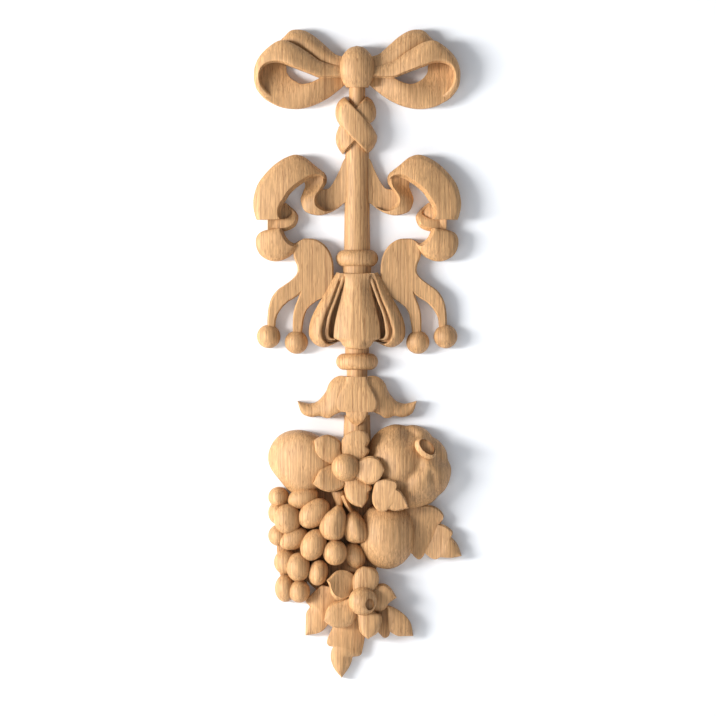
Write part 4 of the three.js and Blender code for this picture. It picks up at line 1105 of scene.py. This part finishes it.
growth = node(tree, "Math", {0: rings}, operation="FRACT").outputs[0]
year = node(tree, "Math", {0: rings}, operation="FLOOR").outputs[0]
depth = node(tree, "TexWhiteNoise", {"W": year}, noise_dimensions="1D").outputs["Value"]
late = node(tree, "ValToRGB", {"Fac": growth},
            [(0.0, "#000000"), (0.35, "#202020"), (0.78, "#c0c0c0"), (0.9, "#ffffff"),
             (1.0, "#000000")]).outputs[0]
strength = node(tree, "MapRange", {"Value": depth, "To Min": 0.05, "To Max": 0.8}).outputs[0]
late = node(tree, "Math", {0: late, 1: strength}, operation="MULTIPLY").outputs[0]
wood = node(tree, "Mix", {"Factor": late, 6: colour("#d9a974"), 7: colour("#a06b3e")},
            data_type="RGBA").outputs[2]
fibre_place = node(tree, "Mapping", {"Vector": bent, "Scale": (1000, 420, 40)}).outputs[0]
fibres = node(tree, "TexNoise",
              {"Vector": fibre_place, "Scale": 1.0, "Detail": 3.0, "Roughness": 0.7}).outputs["Fac"]
fibres = node(tree, "ValToRGB", {"Fac": fibres},
              [(0.32, "#746c68"), (0.5, "#bebab6"), (0.68, "#ffffff")]).outputs[0]
wood = node(tree, "Mix", {"Factor": 0.5, 6: wood, 7: fibres}, data_type="RGBA",
            blend_type="MULTIPLY").outputs[2]
pore_place = node(tree, "Mapping", {"Vector": bent, "Scale": (1400, 700, 110)}).outputs[0]
pores = node(tree, "TexNoise", {"Vector": pore_place, "Scale": 1.0, "Detail": 1.0}).outputs["Fac"]
pores = node(tree, "ValToRGB", {"Fac": pores}, [(0.6, "#000000"), (0.7, "#ffffff")]).outputs[0]
pores = node(tree, "Math", {0: pores, 1: 0.5}, operation="MULTIPLY").outputs[0]
wood = node(tree, "Mix", {"Factor": pores, 6: wood, 7: colour("#7d5028")},
            data_type="RGBA").outputs[2]
shade = node(tree, "MapRange", {"Value": slow.outputs["Fac"], "From Min": 0.3, "From Max": 0.7,
                                "To Min": 0.86, "To Max": 1.06}).outputs[0]
wood = node(tree, "VectorMath", {0: wood, "Scale": shade}, operation="SCALE").outputs[0]
tree.links.new(wood, shader.inputs["Base Color"])
shader.inputs["Roughness"].default_value = 0.6
shader.inputs["IOR"].default_value = 1.5
grain = node(tree, "Math", {0: pores, 1: late}, operation="ADD").outputs[0]
bump = node(tree, "Bump", {"Height": grain, "Distance": 0.00015, "Strength": 0.6}, invert=True)
tree.links.new(bump.outputs[0], shader.inputs["Normal"])
carved_oak.data.materials.clear()  # the joins leave an empty slot
carved_oak.data.materials.append(oak)

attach(carved_oak, "root")
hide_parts("carving")


# Studio

TOUCHING = 0.004  # rays shorter than this, m, pass through a board, as from the back of the piece


def one_sided(name, code):
    """A matt finish for a board that is seen from its front alone, and lets light through to a
    piece that touches it."""
    material, tree, shader = finish(name)
    shader.inputs["Base Color"].default_value = colour(code)
    shader.inputs["Roughness"].default_value = 0.9
    clear = node(tree, "BsdfTransparent").outputs[0]
    back = node(tree, "NewGeometry").outputs["Backfacing"]
    near = node(tree, "LightPath").outputs["Ray Length"]
    near = node(tree, "Math", {0: near, 1: TOUCHING}, operation="LESS_THAN").outputs[0]
    back = node(tree, "Math", {0: back, 1: near}, operation="MAXIMUM").outputs[0]
    both = node(tree, "MixShader", {0: back, 1: shader.outputs[0], 2: clear}).outputs[0]
    tree.links.new(both, tree.nodes["Material Output"].inputs["Surface"])
    return material


def board(name, size, location, turn, material):
    """A square board of the stage."""
    bpy.ops.mesh.primitive_plane_add(size=size, location=location, rotation=turn)
    piece = bpy.context.object
    piece.name = name
    piece.data.materials.append(material)


pale = one_sided("pale matt board", "#f4f5f7")
board("wall_board", 3.0, (0, 0.0006, 0.6), (math.pi / 2, 0, 0), pale)
board("floor", 4.0, (0, -1.5, -0.9), (0, 0, 0), pale)

# The room, faint and a little blue
world = bpy.context.scene.world or bpy.data.worlds.new("studio")
bpy.context.scene.world = world
world.use_nodes = True
background = world.node_tree.nodes["Background"]
background.inputs["Color"].default_value = colour("#eaf1fa")
background.inputs["Strength"].default_value = 0.43


def softbox(name, location, width, height, energy, code="#ffffff"):
    """A soft light that the camera doesn't see, turned towards the middle of the piece."""
    bpy.ops.object.light_add(type="AREA", location=location)
    lamp = bpy.context.object
    lamp.name = name
    lamp.data.shape = "RECTANGLE"
    lamp.data.size, lamp.data.size_y = width, height
    lamp.data.energy = energy
    lamp.data.color = colour(code)[:3]
    lamp.visible_camera = False
    lamp.rotation_mode = "QUATERNION"
    lamp.rotation_quaternion = (-lamp.location).to_track_quat("-Z", "Y")


# A large softbox well to the left, level with the piece, and a weak one lower towards the wall that
# lights the left edges
softbox("key_softbox", (-2.05, -1.43, 0.10), 1.15, 0.6, 82)
softbox("edge_softbox", (-1.7, -0.28, 0.04), 0.3, 0.6, 12, "#fff4d8")

# The photograph is 716 px square and 551.6 mm wide at the wall; the lens is long
WIDE, AWAY = 0.5516, 6.0  # m
SENSOR = 36  # mm
bpy.ops.object.camera_add(location=(0.0007, -AWAY, -0.0035), rotation=(math.pi / 2, 0, 0))
camera = bpy.context.object
camera.data.sensor_width = SENSOR
camera.data.lens = SENSOR * AWAY / WIDE
camera.data.clip_end = 50
bpy.context.scene.camera = camera
bpy.context.scene.view_settings.view_transform = "Standard"

low, high = solid_box
